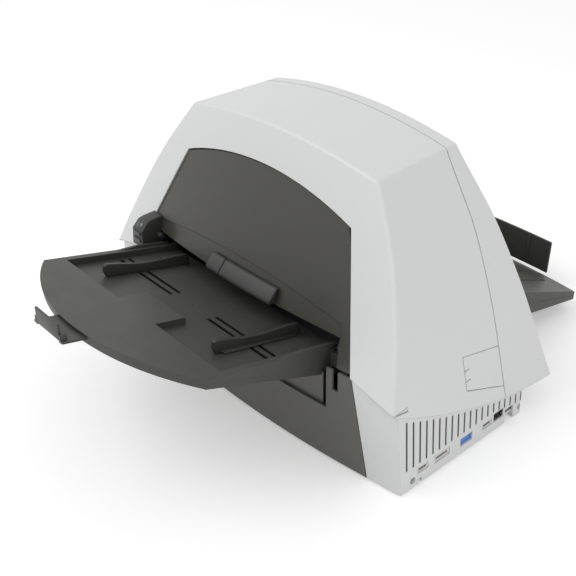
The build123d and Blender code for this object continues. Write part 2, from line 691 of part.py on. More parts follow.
def tray_parts():
    """Input tray with its lower shell, lift arms, guide rails and their brackets."""
    y_far, y_near = -420.0, -100.0
    def above_floor(offset):
        return lambda y: floor_z(y) + offset
    def above_split(offset):
        return lambda y: split_z(y) + offset
    plate = tray_plan(0, 60, 260) & between(y_far, y_near, above_floor(0), above_floor(-TRAY_SKIN))
    shell = tray_plan(0, 60, 260) - tray_plan(TRAY_SKIN, 50, 270, back=y_near)
    skirt = shell & between(y_far, -132.0, above_floor(0), above_split(0.3))
    crest = [(y, floor_z(y) + rise) for y, rise in TRAY_RIM]
    crest_end = TRAY_RIM[-1][0]
    crest += [(crest_end, floor_z(crest_end) - 1.0), (TRAY_RIM[0][0], floor_z(TRAY_RIM[0][0]) - 1.0)]
    rims = both_sides(prism("X", crest, TRAY_HALF - 4, TRAY_HALF))
    tray = plate + skirt + rims[0] + rims[1]
    pan = block(-DISH_HALF - TRAY_SKIN, DISH_HALF + TRAY_SKIN, DISH_FRONT_Y - TRAY_SKIN, TRAY_BACK_Y, 60, 260)
    pan = pan - block(-ISLAND_HALF + TRAY_SKIN, ISLAND_HALF - TRAY_SKIN, -FAR, ISLAND_REAR_Y - TRAY_SKIN, 0, 300)
    tray = tray + (pan & between(y_far, y_near, above_floor(0), above_floor(-DISH_DEPTH - TRAY_SKIN)))
    dish = block(-DISH_HALF, DISH_HALF, DISH_FRONT_Y, y_near, 60, 260)
    dish = dish - block(-ISLAND_HALF, ISLAND_HALF, -FAR, ISLAND_REAR_Y, 0, 300)
    tray = tray - (dish & between(y_far, y_near + 5, above_floor(20), above_floor(-DISH_DEPTH)))
    for y in SLOT_Y:
        for side in (-1, 1):
            centre = side * (GUIDE_X + GUIDE_THICK / 2)
            reach = sorted((centre - side * (GUIDE_IN + 4), centre + side * (GUIDE_OUT + 4)))
            tray = tray - block(reach[0], reach[1], y - 2.6, y + 2.6, 100, 260)
    pocket_end = ISLAND_REAR_Y - TRAY_SKIN - 0.3
    pocket_top = -TRAY_SKIN - 0.4
    pocket = between(y_far, pocket_end, above_floor(pocket_top), above_floor(pocket_top - EXT_THICK - 0.8))
    pocket = pocket & block(-EXT_HALF - 0.5, EXT_HALF + 0.5, -FAR, pocket_end, 0, 300)
    tray = tray - pocket
    for side in (-1, 1):
        arm = block(side * TRAY_HALF - 3, side * TRAY_HALF + 3, RAIL_Y - 7, RAIL_Y + 7, 126, 149)
        reach = sorted((side * (TRAY_HALF - 2), side * (RAIL_X + 6)))
        arm = arm + block(reach[0], reach[1], RAIL_Y - 6.5, RAIL_Y + 6.5, 128, 146)
        tray = tray + arm
    for x in (-RAIL_X, RAIL_X):
        tray = tray - rod("Z", RAIL_RADIUS + RUNNING_FIT, 100, 160, x, RAIL_Y)
    tray = tray - rod("Z", PINION_PIN + RUNNING_FIT, 100, 260, 0, sum(SLOT_Y) / 2)
    runners = []
    for x in (-EXT_HALF - 4.5, EXT_HALF + 0.5):
        runner = between(-366, -256, above_floor(-TRAY_SKIN + 0.2), above_floor(-TRAY_SKIN - 5.4))
        runners.append(runner & block(x, x + 4, -FAR, FAR, 0, 300))
    keeper = between(-352, -256, above_floor(-TRAY_SKIN - 3.8), above_floor(-TRAY_SKIN - 5.4))
    runners.append(keeper & block(-EXT_HALF - 4.5, EXT_HALF + 4.5, -FAR, FAR, 0, 300))
    for runner in runners:
        tray = tray + (runner & tray_plan(0, 60, 260))
    lower = tray_plan(1.0, 60, 260, back=-133.0) & between(y_far, -133.0, above_split(0), above_split(-8.0))
    hollow = tray_plan(4.0, 50, 270, back=-137.0) & between(y_far, -137.0, above_split(10), above_split(-5.5))
    curtain = block(3 - TRAY_HALF, TRAY_HALF - 3, -137.0, -134.0, TRAY_CURTAIN_FOOT_Z, split_z(-135.0) - 6.0)
    lower = lower + curtain - hollow - pocket
    face_x = PLATE_X + PLATE_THICK
    bracket = block(face_x, face_x + 2.5, -103, -98, 84, 157)
    for z in (84, 153):
        bracket = bracket + block(face_x, RAIL_X + 6, RAIL_Y - 6, -98, z, z + 4)
        bracket = bracket - rod("Z", RAIL_RADIUS, z - 1, z + 5, RAIL_X, RAIL_Y)
    rail = rod("Z", RAIL_RADIUS, 84, 157, RAIL_X, RAIL_Y)
    return {
        "input_tray": tray, "input_tray_lower_shell": lower,
        "rail_brackets": Compound(children=both_sides(bracket)), "lift_rails": Compound(children=both_sides(rail)),
    }


def guide_parts():
    """Side guides of the input tray with their racks and the pinion between them."""
    y0, y1 = -266.0, -137.0
    def dish_z(y):
        return floor_z(y) - DISH_DEPTH
    wall_points = [(y1, dish_z(y1) + 0.4), (y0 + 3, dish_z(y0 + 3) + 0.4)]
    wall_points += [(y0 + along, dish_z(y0 + along) + rise) for along, rise in GUIDE_CREST]
    wall = prism("X", wall_points, GUIDE_X, GUIDE_X + GUIDE_THICK)
    foot = between(y0 + 12, y1 - 8, lambda y: dish_z(y) + 2.4, lambda y: dish_z(y) + 0.4)
    wall = wall + (foot & block(GUIDE_X, GUIDE_X + GUIDE_FLANGE, -FAR, FAR, 0, 300))
    rack_z = floor_z(SLOT_Y[0]) - RACK_DROP
    left_wall = mirror(wall, about=Plane.YZ)
    edge = GUIDE_X + GUIDE_THICK
    guides = []
    for shape, side, own_y, other_y in ((wall, 1, SLOT_Y[1], SLOT_Y[0]), (left_wall, -1, SLOT_Y[0], SLOT_Y[1])):
        stem_x = sorted((side * GUIDE_X, side * edge))
        rack_x = sorted((-side * 46.0, side * edge))
        stem = block(*stem_x, own_y - 2.0, own_y + 2.0, rack_z - RACK_HEIGHT, dish_z(own_y) + 4)
        short_stem = block(*stem_x, other_y - 2.0, other_y + 2.0, dish_z(other_y) - 4.0, dish_z(other_y) + 4)
        rack = block(*rack_x, own_y - 2.0, own_y + 2.0, rack_z - RACK_HEIGHT, rack_z)
        guides.append(shape + stem + short_stem + rack)
    right, left = guides
    pinion_y = sum(SLOT_Y) / 2
    pinion_radius = (SLOT_Y[1] - SLOT_Y[0]) / 2 - 2.0 - 0.2
    pinion = rod("Z", pinion_radius, rack_z - RACK_HEIGHT, rack_z, 0, pinion_y)
    pinion = pinion + rod("Z", PINION_PIN, rack_z, dish_z(pinion_y) - 0.6, 0, pinion_y)
    return {"side_guide_right": right, "side_guide_left": left, "guide_pinion": pinion}


def extension_parts():
    """Pull-out extension of the input tray with its folding stop."""
    def line(offset):
        return lambda y: floor_z(y) - TRAY_SKIN - 0.6 + offset
    plate = between(STOP_Y, EXT_REAR_Y, line(-0.2), line(-EXT_THICK)) & block(-EXT_HALF, EXT_HALF, -FAR, FAR, 0, 300)
    pivot_z = floor_z(STOP_Y) - TRAY_SKIN - 0.6 + 3.4
    for side in (-1, 1):
        ear_x = sorted((side * (STOP_HALF + 1.0), side * (STOP_HALF + 5.0)))
        ear = block(ear_x[0], ear_x[1], STOP_Y, STOP_Y + 8, pivot_z - 7, pivot_z + 3)
        plate = plate + ear
    plate = plate - block(-STOP_HALF - 1, STOP_HALF + 1, STOP_Y - 1, STOP_Y + 9, 0, 300)
    pin = rod("X", 1.5, -STOP_HALF - 5, STOP_HALF + 5, STOP_Y + 4, pivot_z)
    plate = plate - rod("X", 1.5, -STOP_HALF - 6, STOP_HALF + 6, STOP_Y + 4, pivot_z)
    stop = block(-STOP_HALF, STOP_HALF, STOP_Y, STOP_Y + 3, pivot_z, STOP_TOP_Z)
    barrel = rod("X", 3.2, -STOP_HALF, STOP_HALF, STOP_Y + 4, pivot_z)
    stop = stop + barrel - rod("X", 1.5 + RUNNING_FIT, -30, 30, STOP_Y + 4, pivot_z)
    return {"tray_extension": Compound(children=[plate, pin]), "extension_stop": stop}


def out_z(y):
    """Height of the output tray's top face."""
    return OUT_TOP_Z - OUT_SLOPE * (y - 160.0)


def out_foot_z(y):
    """Height of the output tray's underside."""
    return OUT_FOOT_Z - OUT_FOOT_SLOPE * (y - 160.0)


def out_plan(shrink):
    """Straight upright solid with the output tray's plan outline."""
    half = OUT_HALF - shrink
    end = OUT_END_Y - shrink
    nose = OUT_NOSE_Y - shrink
    back = OUT_BACK_Y + shrink
    edges = [
        Line((-half, end, 0), (-half, back, 0)), Line((-half, back, 0), (half, back, 0)),
        Line((half, back, 0), (half, end, 0)), ThreePointArc((half, end, 0), (0, nose, 0), (-half, end, 0)),
    ]
    return extrude(make_face(edges), amount=200, dir=(0, 0, 1))


def output_parts():
    """Output tray with its lower shell, its sliding stop and its hinge pins."""
    y_near, y_far = 150.0, 420.0
    split = lambda y: (out_z(y) + out_foot_z(y)) / 2
    whole = out_plan(0) & between(y_near, y_far, out_z, out_foot_z)
    core = out_plan(3.0) & between(y_near, y_far, lambda y: out_z(y) - 3.0, lambda y: out_foot_z(y) + 2.6)
    shell = whole - core
    upper = shell & between(y_near, y_far, lambda y: out_z(y) + 5, split)
    lower = shell & between(y_near, y_far, lambda y: split(y) - 0.4, lambda y: out_foot_z(y) - 5)
    for x in (-140, -100, 100, 140):
        rib = between(175, 345, lambda y: out_z(y) + 2.0, lambda y: out_z(y) - 1.0)
        upper = upper + (rib & block(x - 1.5, x + 1.5, 0, 500, 0, 200))
    channel_end = OUT_STOP_Y - OUT_STOP_PIVOT - CARRIAGE_BEHIND_PIVOT + 0.4
    channel = between(y_near, y_far, lambda y: out_z(y) + 9, lambda y: out_z(y) - 9)
    channel = channel & block(-14, 14, 250, channel_end, 0, 200)
    upper = upper - channel
    for side in (-1, 1):
        ear_x = sorted((side * 156, side * 166))
        ear = block(ear_x[0], ear_x[1], OUT_PIVOT_Y - 6, OUT_BACK_Y + 4, OUT_PIVOT_Z - 8, OUT_PIVOT_Z + 1)
        ear = ear + rod("X", 6.0, ear_x[0], ear_x[1], OUT_PIVOT_Y, OUT_PIVOT_Z)
        upper = upper + ear
    for x in (-160, 160):
        upper = upper - rod("X", 3.0 + RUNNING_FIT, x - 12, x + 12, OUT_PIVOT_Y, OUT_PIVOT_Z)
    pins = both_sides(rod("X", 3.0, 154, PLATE_X + PLATE_THICK, OUT_PIVOT_Y, OUT_PIVOT_Z))
    return {"output_tray": upper, "output_tray_lower_shell": lower, "output_hinge_pins": Compound(children=pins)}


def output_stop_parts():
    """Sliding carriage and folding stop of the output tray."""
    pivot_y = OUT_STOP_Y - OUT_STOP_PIVOT
    pivot_z = out_z(pivot_y) + 6.0
    y1 = pivot_y - CARRIAGE_BEHIND_PIVOT
    y0 = y1 - CARRIAGE_LENGTH
    carriage = between(y0, y1, lambda y: out_z(y) + 2.4, lambda y: out_z(y) + 0.4)
    carriage = carriage & block(-22, 22, 0, 500, 0, 200)
    stem = between(y0 + 1, y1 - 1, lambda y: out_z(y) + 1.0, lambda y: out_z(y) - 3.6)
    stem = stem & block(-13, 13, 0, 500, 0, 200)
    foot = between(y0 + 1, y1 - 1, lambda y: out_z(y) - 3.6, lambda y: out_z(y) - 5.6)
    foot = foot & block(-18, 18, 0, 500, 0, 200)
    carriage = carriage + stem + foot
    for side in (-1, 1):
        ear_x = sorted((side * 14, side * 20))
        arm = block(ear_x[0], ear_x[1], y1 - 14, pivot_y + 2.4, pivot_z - 4, pivot_z + 3)
        carriage = carriage + (arm & between(y0, 400, lambda y: 200, lambda y: out_z(y) + 0.4))
    carriage = carriage - rod("X", 1.5, -30, 30, pivot_y, pivot_z)
    pin = rod("X", 1.5, -20, 20, pivot_y, pivot_z)
    bow = 1600.0
    face = block(-OUT_STOP_HALF, OUT_STOP_HALF, pivot_y - 4, 410, pivot_z - 2, OUT_STOP_TOP_Z)
    curve = rod("Z", bow, 0, 100, 0, OUT_STOP_Y - bow) - rod("Z", bow - 3.0, 0, 100, 0, OUT_STOP_Y - bow)
    panel = face & curve
    barrel = rod("X", 3.4, -13.4, 13.4, pivot_y, pivot_z)
    link = block(-13.4, 13.4, pivot_y, OUT_STOP_Y - 1, pivot_z - 2, pivot_z + 3)
    panel = panel + barrel + link
    panel = panel - rod("X", 1.5 + RUNNING_FIT, -30, 30, pivot_y, pivot_z)
    for side in (-1, 1):
        notch_x = sorted((side * 13.4, side * 21.0))
        panel = panel - block(notch_x[0], notch_x[1], 370, 410, pivot_z - 5, pivot_z + 8)
    return {"output_stop_carriage": Compound(children=[carriage, pin]), "output_stop": panel}


def pod_parts():
    """Control pod on the left of the cover, with display and two keys."""
    outline = [(-168, 153), (-168, 200), (-160, 209), (-150, 209), (-128, 200), (-128, 172), (-146, 172), (-146, 153)]
    pod = prism("X", outline, -197, -171)
    pod = pod - casing(2.0) - (casing(-0.8) - opening_prism(-0.4))
    parts = {}
    keys = {"start_key": (-192, -176, 171, 176), "stop_key": (-192, -176, 161, 166)}
    hollow = block(-193, -175, -165.0, -158, 158, 199)
    pod = pod - hollow
    pod = pod - block(-192, -180, -170, -160, 180, 198)
    parts["pod_display"] = block(-192, -180, -167.6, -164.6, 180, 198)
    for name, (x0, x1, z0, z1) in keys.items():
        pod = pod - block(x0, x1, -175, -160, z0, z1)
        fit = 0.3
        key = block(x0 + fit, x1 - fit, -169.5, -163.6, z0 + fit, z1 - fit)
        parts[name] = key + block(x0 - 0.6, x1 + 0.6, -164.8, -163.6, z0 - 0.6, z1 + 0.6)
    parts["control_pod"] = pod
    return parts


def screw_parts():
    """Casing screws under the base and in the side plates."""
    screws = []
    for x in (-215, 215):
        for y in (-121, 70):
            head = rod("Z", 4.0, BASE_FLOOR_Z - 2.2, BASE_FLOOR_Z, x, y)
            screws.append(head)
    return {"base_screws": Compound(children=screws)}


def build():
    """Every piece of the scanner by node name."""
    parts = {}
    for group in (
        casing_parts, base_parts, port_parts, cheek_parts, cover_parts, handle_parts, frame_parts, roller_parts,
        drive_parts, camera_parts, electronics_parts, tray_parts, guide_parts, extension_parts, output_parts,
        output_stop_parts, pod_parts, screw_parts,
    ):
        parts.update(group())
    return parts


os.makedirs("parts", exist_ok=True)
for node, shape in build().items():
    export_step(shape, f"parts/{node}.step")
    print(node, len(shape.solids()), round(shape.volume))
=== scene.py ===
import logging
import math
from dataclasses import dataclass, field
from enum import Enum

import bmesh
import bpy
from mathutils import Matrix, Vector


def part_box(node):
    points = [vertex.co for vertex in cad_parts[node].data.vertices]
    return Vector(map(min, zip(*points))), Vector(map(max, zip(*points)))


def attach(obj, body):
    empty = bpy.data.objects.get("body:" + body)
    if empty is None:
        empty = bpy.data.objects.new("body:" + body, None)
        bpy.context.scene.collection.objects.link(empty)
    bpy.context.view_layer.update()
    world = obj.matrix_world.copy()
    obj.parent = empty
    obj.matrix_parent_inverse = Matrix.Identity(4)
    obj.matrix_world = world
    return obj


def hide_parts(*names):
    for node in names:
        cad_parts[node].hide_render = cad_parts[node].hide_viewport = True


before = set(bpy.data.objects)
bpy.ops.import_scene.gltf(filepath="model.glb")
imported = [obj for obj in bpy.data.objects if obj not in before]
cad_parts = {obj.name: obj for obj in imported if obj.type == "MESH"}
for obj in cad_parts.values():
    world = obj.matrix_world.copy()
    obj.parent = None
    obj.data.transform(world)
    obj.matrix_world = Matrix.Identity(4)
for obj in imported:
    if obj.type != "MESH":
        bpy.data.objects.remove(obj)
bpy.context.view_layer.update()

LOG = logging.getLogger("document_scanner")
MM = 0.001

Point = tuple[float, float, float]
Outline = list[tuple[float, float]]
Shape = bmesh.types.BMesh
Tree = bpy.types.NodeTree
Socket = bpy.types.NodeSocket


class Axis(Enum):
    """Direction in which a shape is drawn out or turned."""

    X = 0
    Y = 1
    Z = 2


class Body(Enum):
    """Moving groups of the scanner that a piece can ride on."""

    FRAME = "scanner_body"
    COVER = "cover"
    HANDLE = "release_handle"
    GAP_LEVER = "gap_lever"
    START = "start_button"
    STOP = "stop_button"
    FAN = "cooling_fan"
    TRAY = "lift_tray"
    GUIDE_RIGHT = "guide_right"
    GUIDE_LEFT = "guide_left"
    EXTENSION_FLAP = "extension_flap"
    STOP_FLAP = "stop_flap"


# Colour effects shared by the finishes


def placed(tree: Tree, kind: str, inputs: dict[str | int, object], **settings: object) -> bpy.types.Node:
    """Places a shader node.

    Args:
        tree: The node tree that it goes in.
        kind: The node's type.
        inputs: Value of each input, or the socket that is linked to it.
        settings: The node's own options.

    Returns:
        The node.
    """
    node = tree.nodes.new(kind)
    for label, value in settings.items():
        setattr(node, label, value)
    for label, value in inputs.items():
        if isinstance(value, Socket):
            tree.links.new(value, node.inputs[label])
        else:
            node.inputs[label].default_value = value
    return node


class Effects:
    """Shader node groups that several finishes place in their materials."""

    tone_scale: float = 7.0
    smudge_scale: float = 26.0
    dust_scale: float = 40.0
    dust_from: float = 0.5
    sheen_range: tuple[float, float] = (0.82, 1.12)

    def __init__(self) -> None:
        """Builds each group once."""
        self.grain = self._grain()
        self.dust = self._dust()
        self.brushing = self._brushing()

    @staticmethod
    def _new(name: str, inputs: dict[str, tuple[str, object]], outputs: dict[str, str]) -> Tree:
        """Starts a node group.

        Args:
            name: The group's name.
            inputs: Socket type and default value by input name.
            outputs: Socket type by output name.

        Returns:
            The group with its input and output nodes placed.
        """
        group = bpy.data.node_groups.new(name, "ShaderNodeTree")
        for label, (kind, value) in inputs.items():
            socket = group.interface.new_socket(name=label, in_out="INPUT", socket_type=kind)
            socket.default_value = value
        for label, kind in outputs.items():
            group.interface.new_socket(name=label, in_out="OUTPUT", socket_type=kind)
        group.nodes.new("NodeGroupInput").name = "in"
        group.nodes.new("NodeGroupOutput").name = "out"
        return group

    @staticmethod
    def _noise(group: Tree, scale: Socket | float, detail: float) -> Socket:
        """Noise over the piece's own coordinates.

        Args:
            group: The node group that the noise goes in.
            scale: The noise's scale.
            detail: Number of octaves.

        Returns:
            The noise's value.
        """
        place = group.nodes.new("ShaderNodeTexCoord").outputs["Object"]
        noise = placed(group, "ShaderNodeTexNoise", {"Vector": place, "Scale": scale, "Detail": detail})
        return noise.outputs["Fac"]

    @staticmethod
    def _tinted(group: Tree, colour: Socket, tone: Socket) -> Socket:
        """A colour made lighter or darker by a factor."""
        scaled = placed(group, "ShaderNodeVectorMath", {0: colour, "Scale": tone}, operation="SCALE")
        return scaled.outputs["Vector"]

    @staticmethod
    def _product(group: Tree, first: Socket, second: Socket) -> Socket:
        """Two values multiplied."""
        return placed(group, "ShaderNodeMath", {0: first, 1: second}, operation="MULTIPLY").outputs["Value"]

    def _swing(
        self, group: Tree, scale: float, detail: float, spread: Socket, middle: Socket | float
    ) -> Socket:
        """A value that noise swings about its middle.

        Args:
            group: The node group that it goes in.
            scale: The noise's scale.
            detail: Number of octaves.
            spread: How far it swings each way.
            middle: The value that it swings about.

        Returns:
            The value.
        """
        noise = self._noise(group, scale, detail)
        even = placed(group, "ShaderNodeMapRange", {"Value": noise, "To Min": -1.0}).outputs["Result"]
        swung = placed(group, "ShaderNodeMath", {0: even, 1: spread, 2: middle}, operation="MULTIPLY_ADD")
        return swung.outputs["Value"]

    def _grain(self) -> Tree:
        """Fine moulded texture with slow changes of tone and gloss."""
        group = self._new(
            "moulded_grain",
            {
                "Colour": ("NodeSocketColor", (0.8, 0.8, 0.8, 1.0)),
                "Tone Spread": ("NodeSocketFloat", 0.03),
                "Roughness": ("NodeSocketFloat", 0.45),
                "Gloss Spread": ("NodeSocketFloat", 0.08),
                "Grain Size": ("NodeSocketFloat", 900.0),
            },
            {"Colour": "NodeSocketColor", "Roughness": "NodeSocketFloat", "Height": "NodeSocketFloat"},
        )
        given, result, link = group.nodes["in"].outputs, group.nodes["out"].inputs, group.links.new
        link(self._noise(group, given["Grain Size"], 2.0), result["Height"])
        tone = self._swing(group, self.tone_scale, 3.0, given["Tone Spread"], 1.0)
        link(self._tinted(group, given["Colour"], tone), result["Colour"])
        gloss = self._swing(group, self.smudge_scale, 4.0, given["Gloss Spread"], given["Roughness"])
        link(gloss, result["Roughness"])
        return group

    def _dust(self) -> Tree:
        """Thin settled dust on faces that look up."""
        group = self._new(
            "settled_dust",
            {
                "Colour": ("NodeSocketColor", (0.8, 0.8, 0.8, 1.0)),
                "Dust Colour": ("NodeSocketColor", (0.5, 0.49, 0.46, 1.0)),
                "Amount": ("NodeSocketFloat", 0.1),
            },
            {"Colour": "NodeSocketColor"},
        )
        given, result = group.nodes["in"].outputs, group.nodes["out"].inputs
        normal = group.nodes.new("ShaderNodeNewGeometry").outputs["Normal"]
        upward = placed(group, "ShaderNodeSeparateXYZ", {"Vector": normal}).outputs["Z"]
        facing = placed(group, "ShaderNodeMapRange", {"Value": upward, "From Min": self.dust_from})
        patch = self._product(group, facing.outputs["Result"], self._noise(group, self.dust_scale, 5.0))
        amount = self._product(group, patch, given["Amount"])
        colours = {"Factor": amount, "A": given["Colour"], "B": given["Dust Colour"]}
        blend = placed(group, "ShaderNodeMix", colours, data_type="RGBA")
        group.links.new(blend.outputs["Result"], result["Colour"])
        return group

    def _brushing(self) -> Tree:
        """Fine lines of rolled or ground metal, drawn out along one axis."""
        group = self._new(
            "drawn_lines",
            {
                "Colour": ("NodeSocketColor", (0.6, 0.6, 0.6, 1.0)),
                "Roughness": ("NodeSocketFloat", 0.35),
                "Stretch": ("NodeSocketVector", (2.0, 400.0, 400.0)),
            },
            {"Colour": "NodeSocketColor", "Roughness": "NodeSocketFloat", "Height": "NodeSocketFloat"},
        )
        given, result, link = group.nodes["in"].outputs, group.nodes["out"].inputs, group.links.new
        place = group.nodes.new("ShaderNodeTexCoord").outputs["Object"]
        drawn = placed(group, "ShaderNodeVectorMath", {0: place, 1: given["Stretch"]}, operation="MULTIPLY")
        stretched = {"Vector": drawn.outputs["Vector"], "Scale": 1.0, "Detail": 3.0}
        lines = placed(group, "ShaderNodeTexNoise", stretched).outputs["Fac"]
        link(lines, result["Height"])
        darkest, lightest = self.sheen_range
        sheen = placed(group, "ShaderNodeMapRange", {"Value": lines, "To Min": darkest, "To Max": lightest})
        link(self._tinted(group, given["Colour"], sheen.outputs["Result"]), result["Colour"])
        link(self._product(group, given["Roughness"], sheen.outputs["Result"]), result["Roughness"])
        return group


# Finishes


@dataclass(frozen=True)
class Moulded:
    """Textured injection-moulded plastic or rubber."""

    name: str
    slot: str
    colour: Point
    roughness: float = 0.45
    grain_size: float = 900.0
    grain_depth: float = 0.00004
    tone_spread: float = 0.03
    gloss_spread: float = 0.08
    dust: float = 0.05
    edge: float = 0.0008
    coat: float = 0.0
    coat_roughness: float = 0.12

    def build(self, effects: Effects) -> bpy.types.Material:
        """Makes the material.

        Args:
            effects: The shared node groups.

        Returns:
            The finished material.
        """
        material, shader = new_material(self.name)
        tree = material.node_tree
        grain = placed(
            tree, "ShaderNodeGroup",
            {
                "Colour": (*self.colour, 1.0), "Tone Spread": self.tone_spread, "Roughness": self.roughness,
                "Gloss Spread": self.gloss_spread, "Grain Size": self.grain_size,
            },
            node_tree=effects.grain,
        )
        dusted = {"Colour": grain.outputs["Colour"], "Amount": self.dust}
        dust = placed(tree, "ShaderNodeGroup", dusted, node_tree=effects.dust)
        tree.links.new(dust.outputs["Colour"], shader.inputs["Base Color"])
        tree.links.new(grain.outputs["Roughness"], shader.inputs["Roughness"])
        relief(tree, shader, grain.outputs["Height"], self.grain_depth, self.edge)
        shader.inputs["Coat Weight"].default_value = self.coat
        shader.inputs["Coat Roughness"].default_value = self.coat_roughness
        return material


@dataclass(frozen=True)
class Metal:
    """Rolled, ground or cast metal with drawn lines."""

    name: str
    slot: str
    colour: Point
    roughness: float = 0.35
    stretch: Point = (2.0, 400.0, 400.0)
    metallic: float = 1.0
    edge: float = 0.0004
    line_depth: float = 0.00002

    def build(self, effects: Effects) -> bpy.types.Material:
        """Makes the material.

        Args:
            effects: The shared node groups.

        Returns:
            The finished material.
        """
        material, shader = new_material(self.name)
        tree = material.node_tree
        lines = placed(
            tree, "ShaderNodeGroup",
            {"Colour": (*self.colour, 1.0), "Roughness": self.roughness, "Stretch": self.stretch},
            node_tree=effects.brushing,
        )
        tree.links.new(lines.outputs["Colour"], shader.inputs["Base Color"])
        tree.links.new(lines.outputs["Roughness"], shader.inputs["Roughness"])
        shader.inputs["Metallic"].default_value = self.metallic
        relief(tree, shader, lines.outputs["Height"], self.line_depth, self.edge)
        return material


@dataclass(frozen=True)
class ClearGlass:
    """Clear or tinted pane with a faint smear."""

    name: str
    slot: str
    colour: Point
    roughness: float = 0.04
    smear: float = 0.03
    clearness: float = 0.9
    refraction: float = 1.5

    def build(self, effects: Effects) -> bpy.types.Material:
        """Makes the material.

        Args:
            effects: The shared node groups.

        Returns:
            The finished material.
        """
        material, shader = new_material(self.name)
        tree = material.node_tree
        smear = placed(
            tree, "ShaderNodeGroup",
            {"Colour": (*self.colour, 1.0), "Roughness": self.roughness, "Gloss Spread": self.smear},
            node_tree=effects.grain,
        )
        tree.links.new(smear.outputs["Colour"], shader.inputs["Base Color"])
        tree.links.new(smear.outputs["Roughness"], shader.inputs["Roughness"])
        shader.inputs["Transmission Weight"].default_value = self.clearness
        shader.inputs["IOR"].default_value = self.refraction
        return material


Finish = Moulded | Metal | ClearGlass


def new_material(name: str) -> tuple[bpy.types.Material, bpy.types.Node]:
    """Starts a node material.

    Args:
        name: The material's name.

    Returns:
        The material and its main shader.
    """
    material = bpy.data.materials.new(name)
    material.use_nodes = True
    return material, material.node_tree.nodes["Principled BSDF"]


def relief(tree: Tree, shader: bpy.types.Node, height: Socket, depth: float, edge: float) -> None:
    """Gives a material its surface relief and softly rounded edges.

    Args:
        tree: The material's node tree.
        shader: The main shader.
        height: Output that holds the relief's height.
        depth: Depth of the relief, in metres.
        edge: Radius to which sharp edges look rounded, in metres.
    """
    bump = placed(tree, "ShaderNodeBump", {"Distance": depth, "Strength": 1.0, "Height": height})
    if edge > 0.0:
        rounding = placed(tree, "ShaderNodeBevel", {"Radius": edge}, samples=4)
        tree.links.new(rounding.outputs["Normal"], bump.inputs["Normal"])
    tree.links.new(bump.outputs["Normal"], shader.inputs["Normal"])


SHELL = Moulded(
    "pale_casing", "casing", (0.74, 0.745, 0.745), roughness=0.40, grain_depth=0.00002, edge=0.0012, dust=0.0,
    tone_spread=0.01,
)
BASE = Moulded("pale_base", "base", (0.73, 0.735, 0.735), roughness=0.46, edge=0.0010, dust=0.0, tone_spread=0.01)
COVER = Moulded(
    "dark_cover", "dark_cover", (0.047, 0.046, 0.040), roughness=0.34, grain_depth=0.00003, edge=0.0006, coat=0.12
)
PANEL = Moulded("dark_panel", "dark_panel", (0.100, 0.099, 0.092), roughness=0.42, edge=0.0012)
TRAY = Moulded("tray_plastic", "tray", (0.046, 0.046, 0.043), roughness=0.48, edge=0.0008)
DARK = Moulded("guide_plastic", "guide", (0.028, 0.028, 0.027), roughness=0.48, edge=0.0006)
RUBBER = Moulded("soft_rubber", "rubber", (0.022, 0.022, 0.022), roughness=0.75, grain_size=600.0, edge=0.0003)
TYRE = Moulded("roller_rubber", "roller", (0.20, 0.21, 0.23), roughness=0.70, grain_size=700.0, edge=0.0003)
BUSH = Moulded("natural_acetal", "bush", (0.72, 0.71, 0.66), roughness=0.38, edge=0.0003)
DARK_BUSH = Moulded("black_acetal", "bush", (0.030, 0.030, 0.031), roughness=0.40, edge=0.0003)
BELT = Moulded("belt_rubber", "belt", (0.02, 0.02, 0.02), roughness=0.68, grain_size=1400.0, edge=0.0002)
KEY = Moulded("key_plastic", "key", (0.050, 0.051, 0.052), roughness=0.36, edge=0.0005)
SOCKET = Moulded("socket_plastic", "socket", (0.018, 0.018, 0.019), roughness=0.5, edge=0.0003)
BLUE = Moulded("blue_socket_plastic", "blue_socket", (0.13, 0.27, 0.62), roughness=0.42, edge=0.0003)
BOARD = Moulded(
    "circuit_board", "board", (0.012, 0.12, 0.045), roughness=0.35, grain_size=500.0, tone_spread=0.12,
    edge=0.0002,
)
DISPLAY = Moulded(
    "display_window", "display", (0.02, 0.035, 0.03), roughness=0.08, grain_depth=0.000001, dust=0.02,
    edge=0.0003, coat=0.6,
)
SHEET_STEEL = Metal("sheet_steel", "steel", (0.56, 0.57, 0.58), roughness=0.34, stretch=(2.0, 3.0, 500.0))
COATED_STEEL = Metal(
    "black_coated_steel", "steel", (0.030, 0.030, 0.032), roughness=0.50, stretch=(60.0, 60.0, 60.0), metallic=0.2
)
SHAFT_STEEL = Metal("shaft_steel", "shaft", (0.66, 0.66, 0.67), roughness=0.22, stretch=(500.0, 3.0, 3.0))
MOTOR_CAN = Metal(
    "motor_can", "motor", (0.07, 0.07, 0.075), roughness=0.42, stretch=(3.0, 300.0, 300.0), metallic=0.4
)
SUPPLY_CASE = Metal("supply_case", "supply", (0.60, 0.61, 0.62), roughness=0.38, stretch=(300.0, 3.0, 300.0))
PORT_METAL = Metal(
    "port_metal", "socket", (0.62, 0.62, 0.61), roughness=0.40, stretch=(3.0, 3.0, 3.0), metallic=0.6
)
CONTACT = Metal("contact_metal", "socket", (0.78, 0.70, 0.48), roughness=0.25, stretch=(3.0, 3.0, 3.0))
GLASS = ClearGlass("scan_glass", "glass", (0.80, 0.88, 0.87))


# Shapes, in millimetres


def cuboid(low: Point, high: Point) -> Shape:
    """Box between two opposite corners."""
    shape = bmesh.new()
    middle = [(a + b) / 2 for a, b in zip(low, high)]
    size = [b - a for a, b in zip(low, high)]
    bmesh.ops.create_cube(shape, size=1.0, matrix=Matrix.Translation(middle) @ Matrix.Diagonal((*size, 1.0)))
    return shape


def lifted(axis: Axis, a: float, b: float, along: float) -> Vector:
    """Point from two plane coordinates and the distance along an axis."""
    point = [a, b]
    point.insert(axis.value, along)
    return Vector(point)


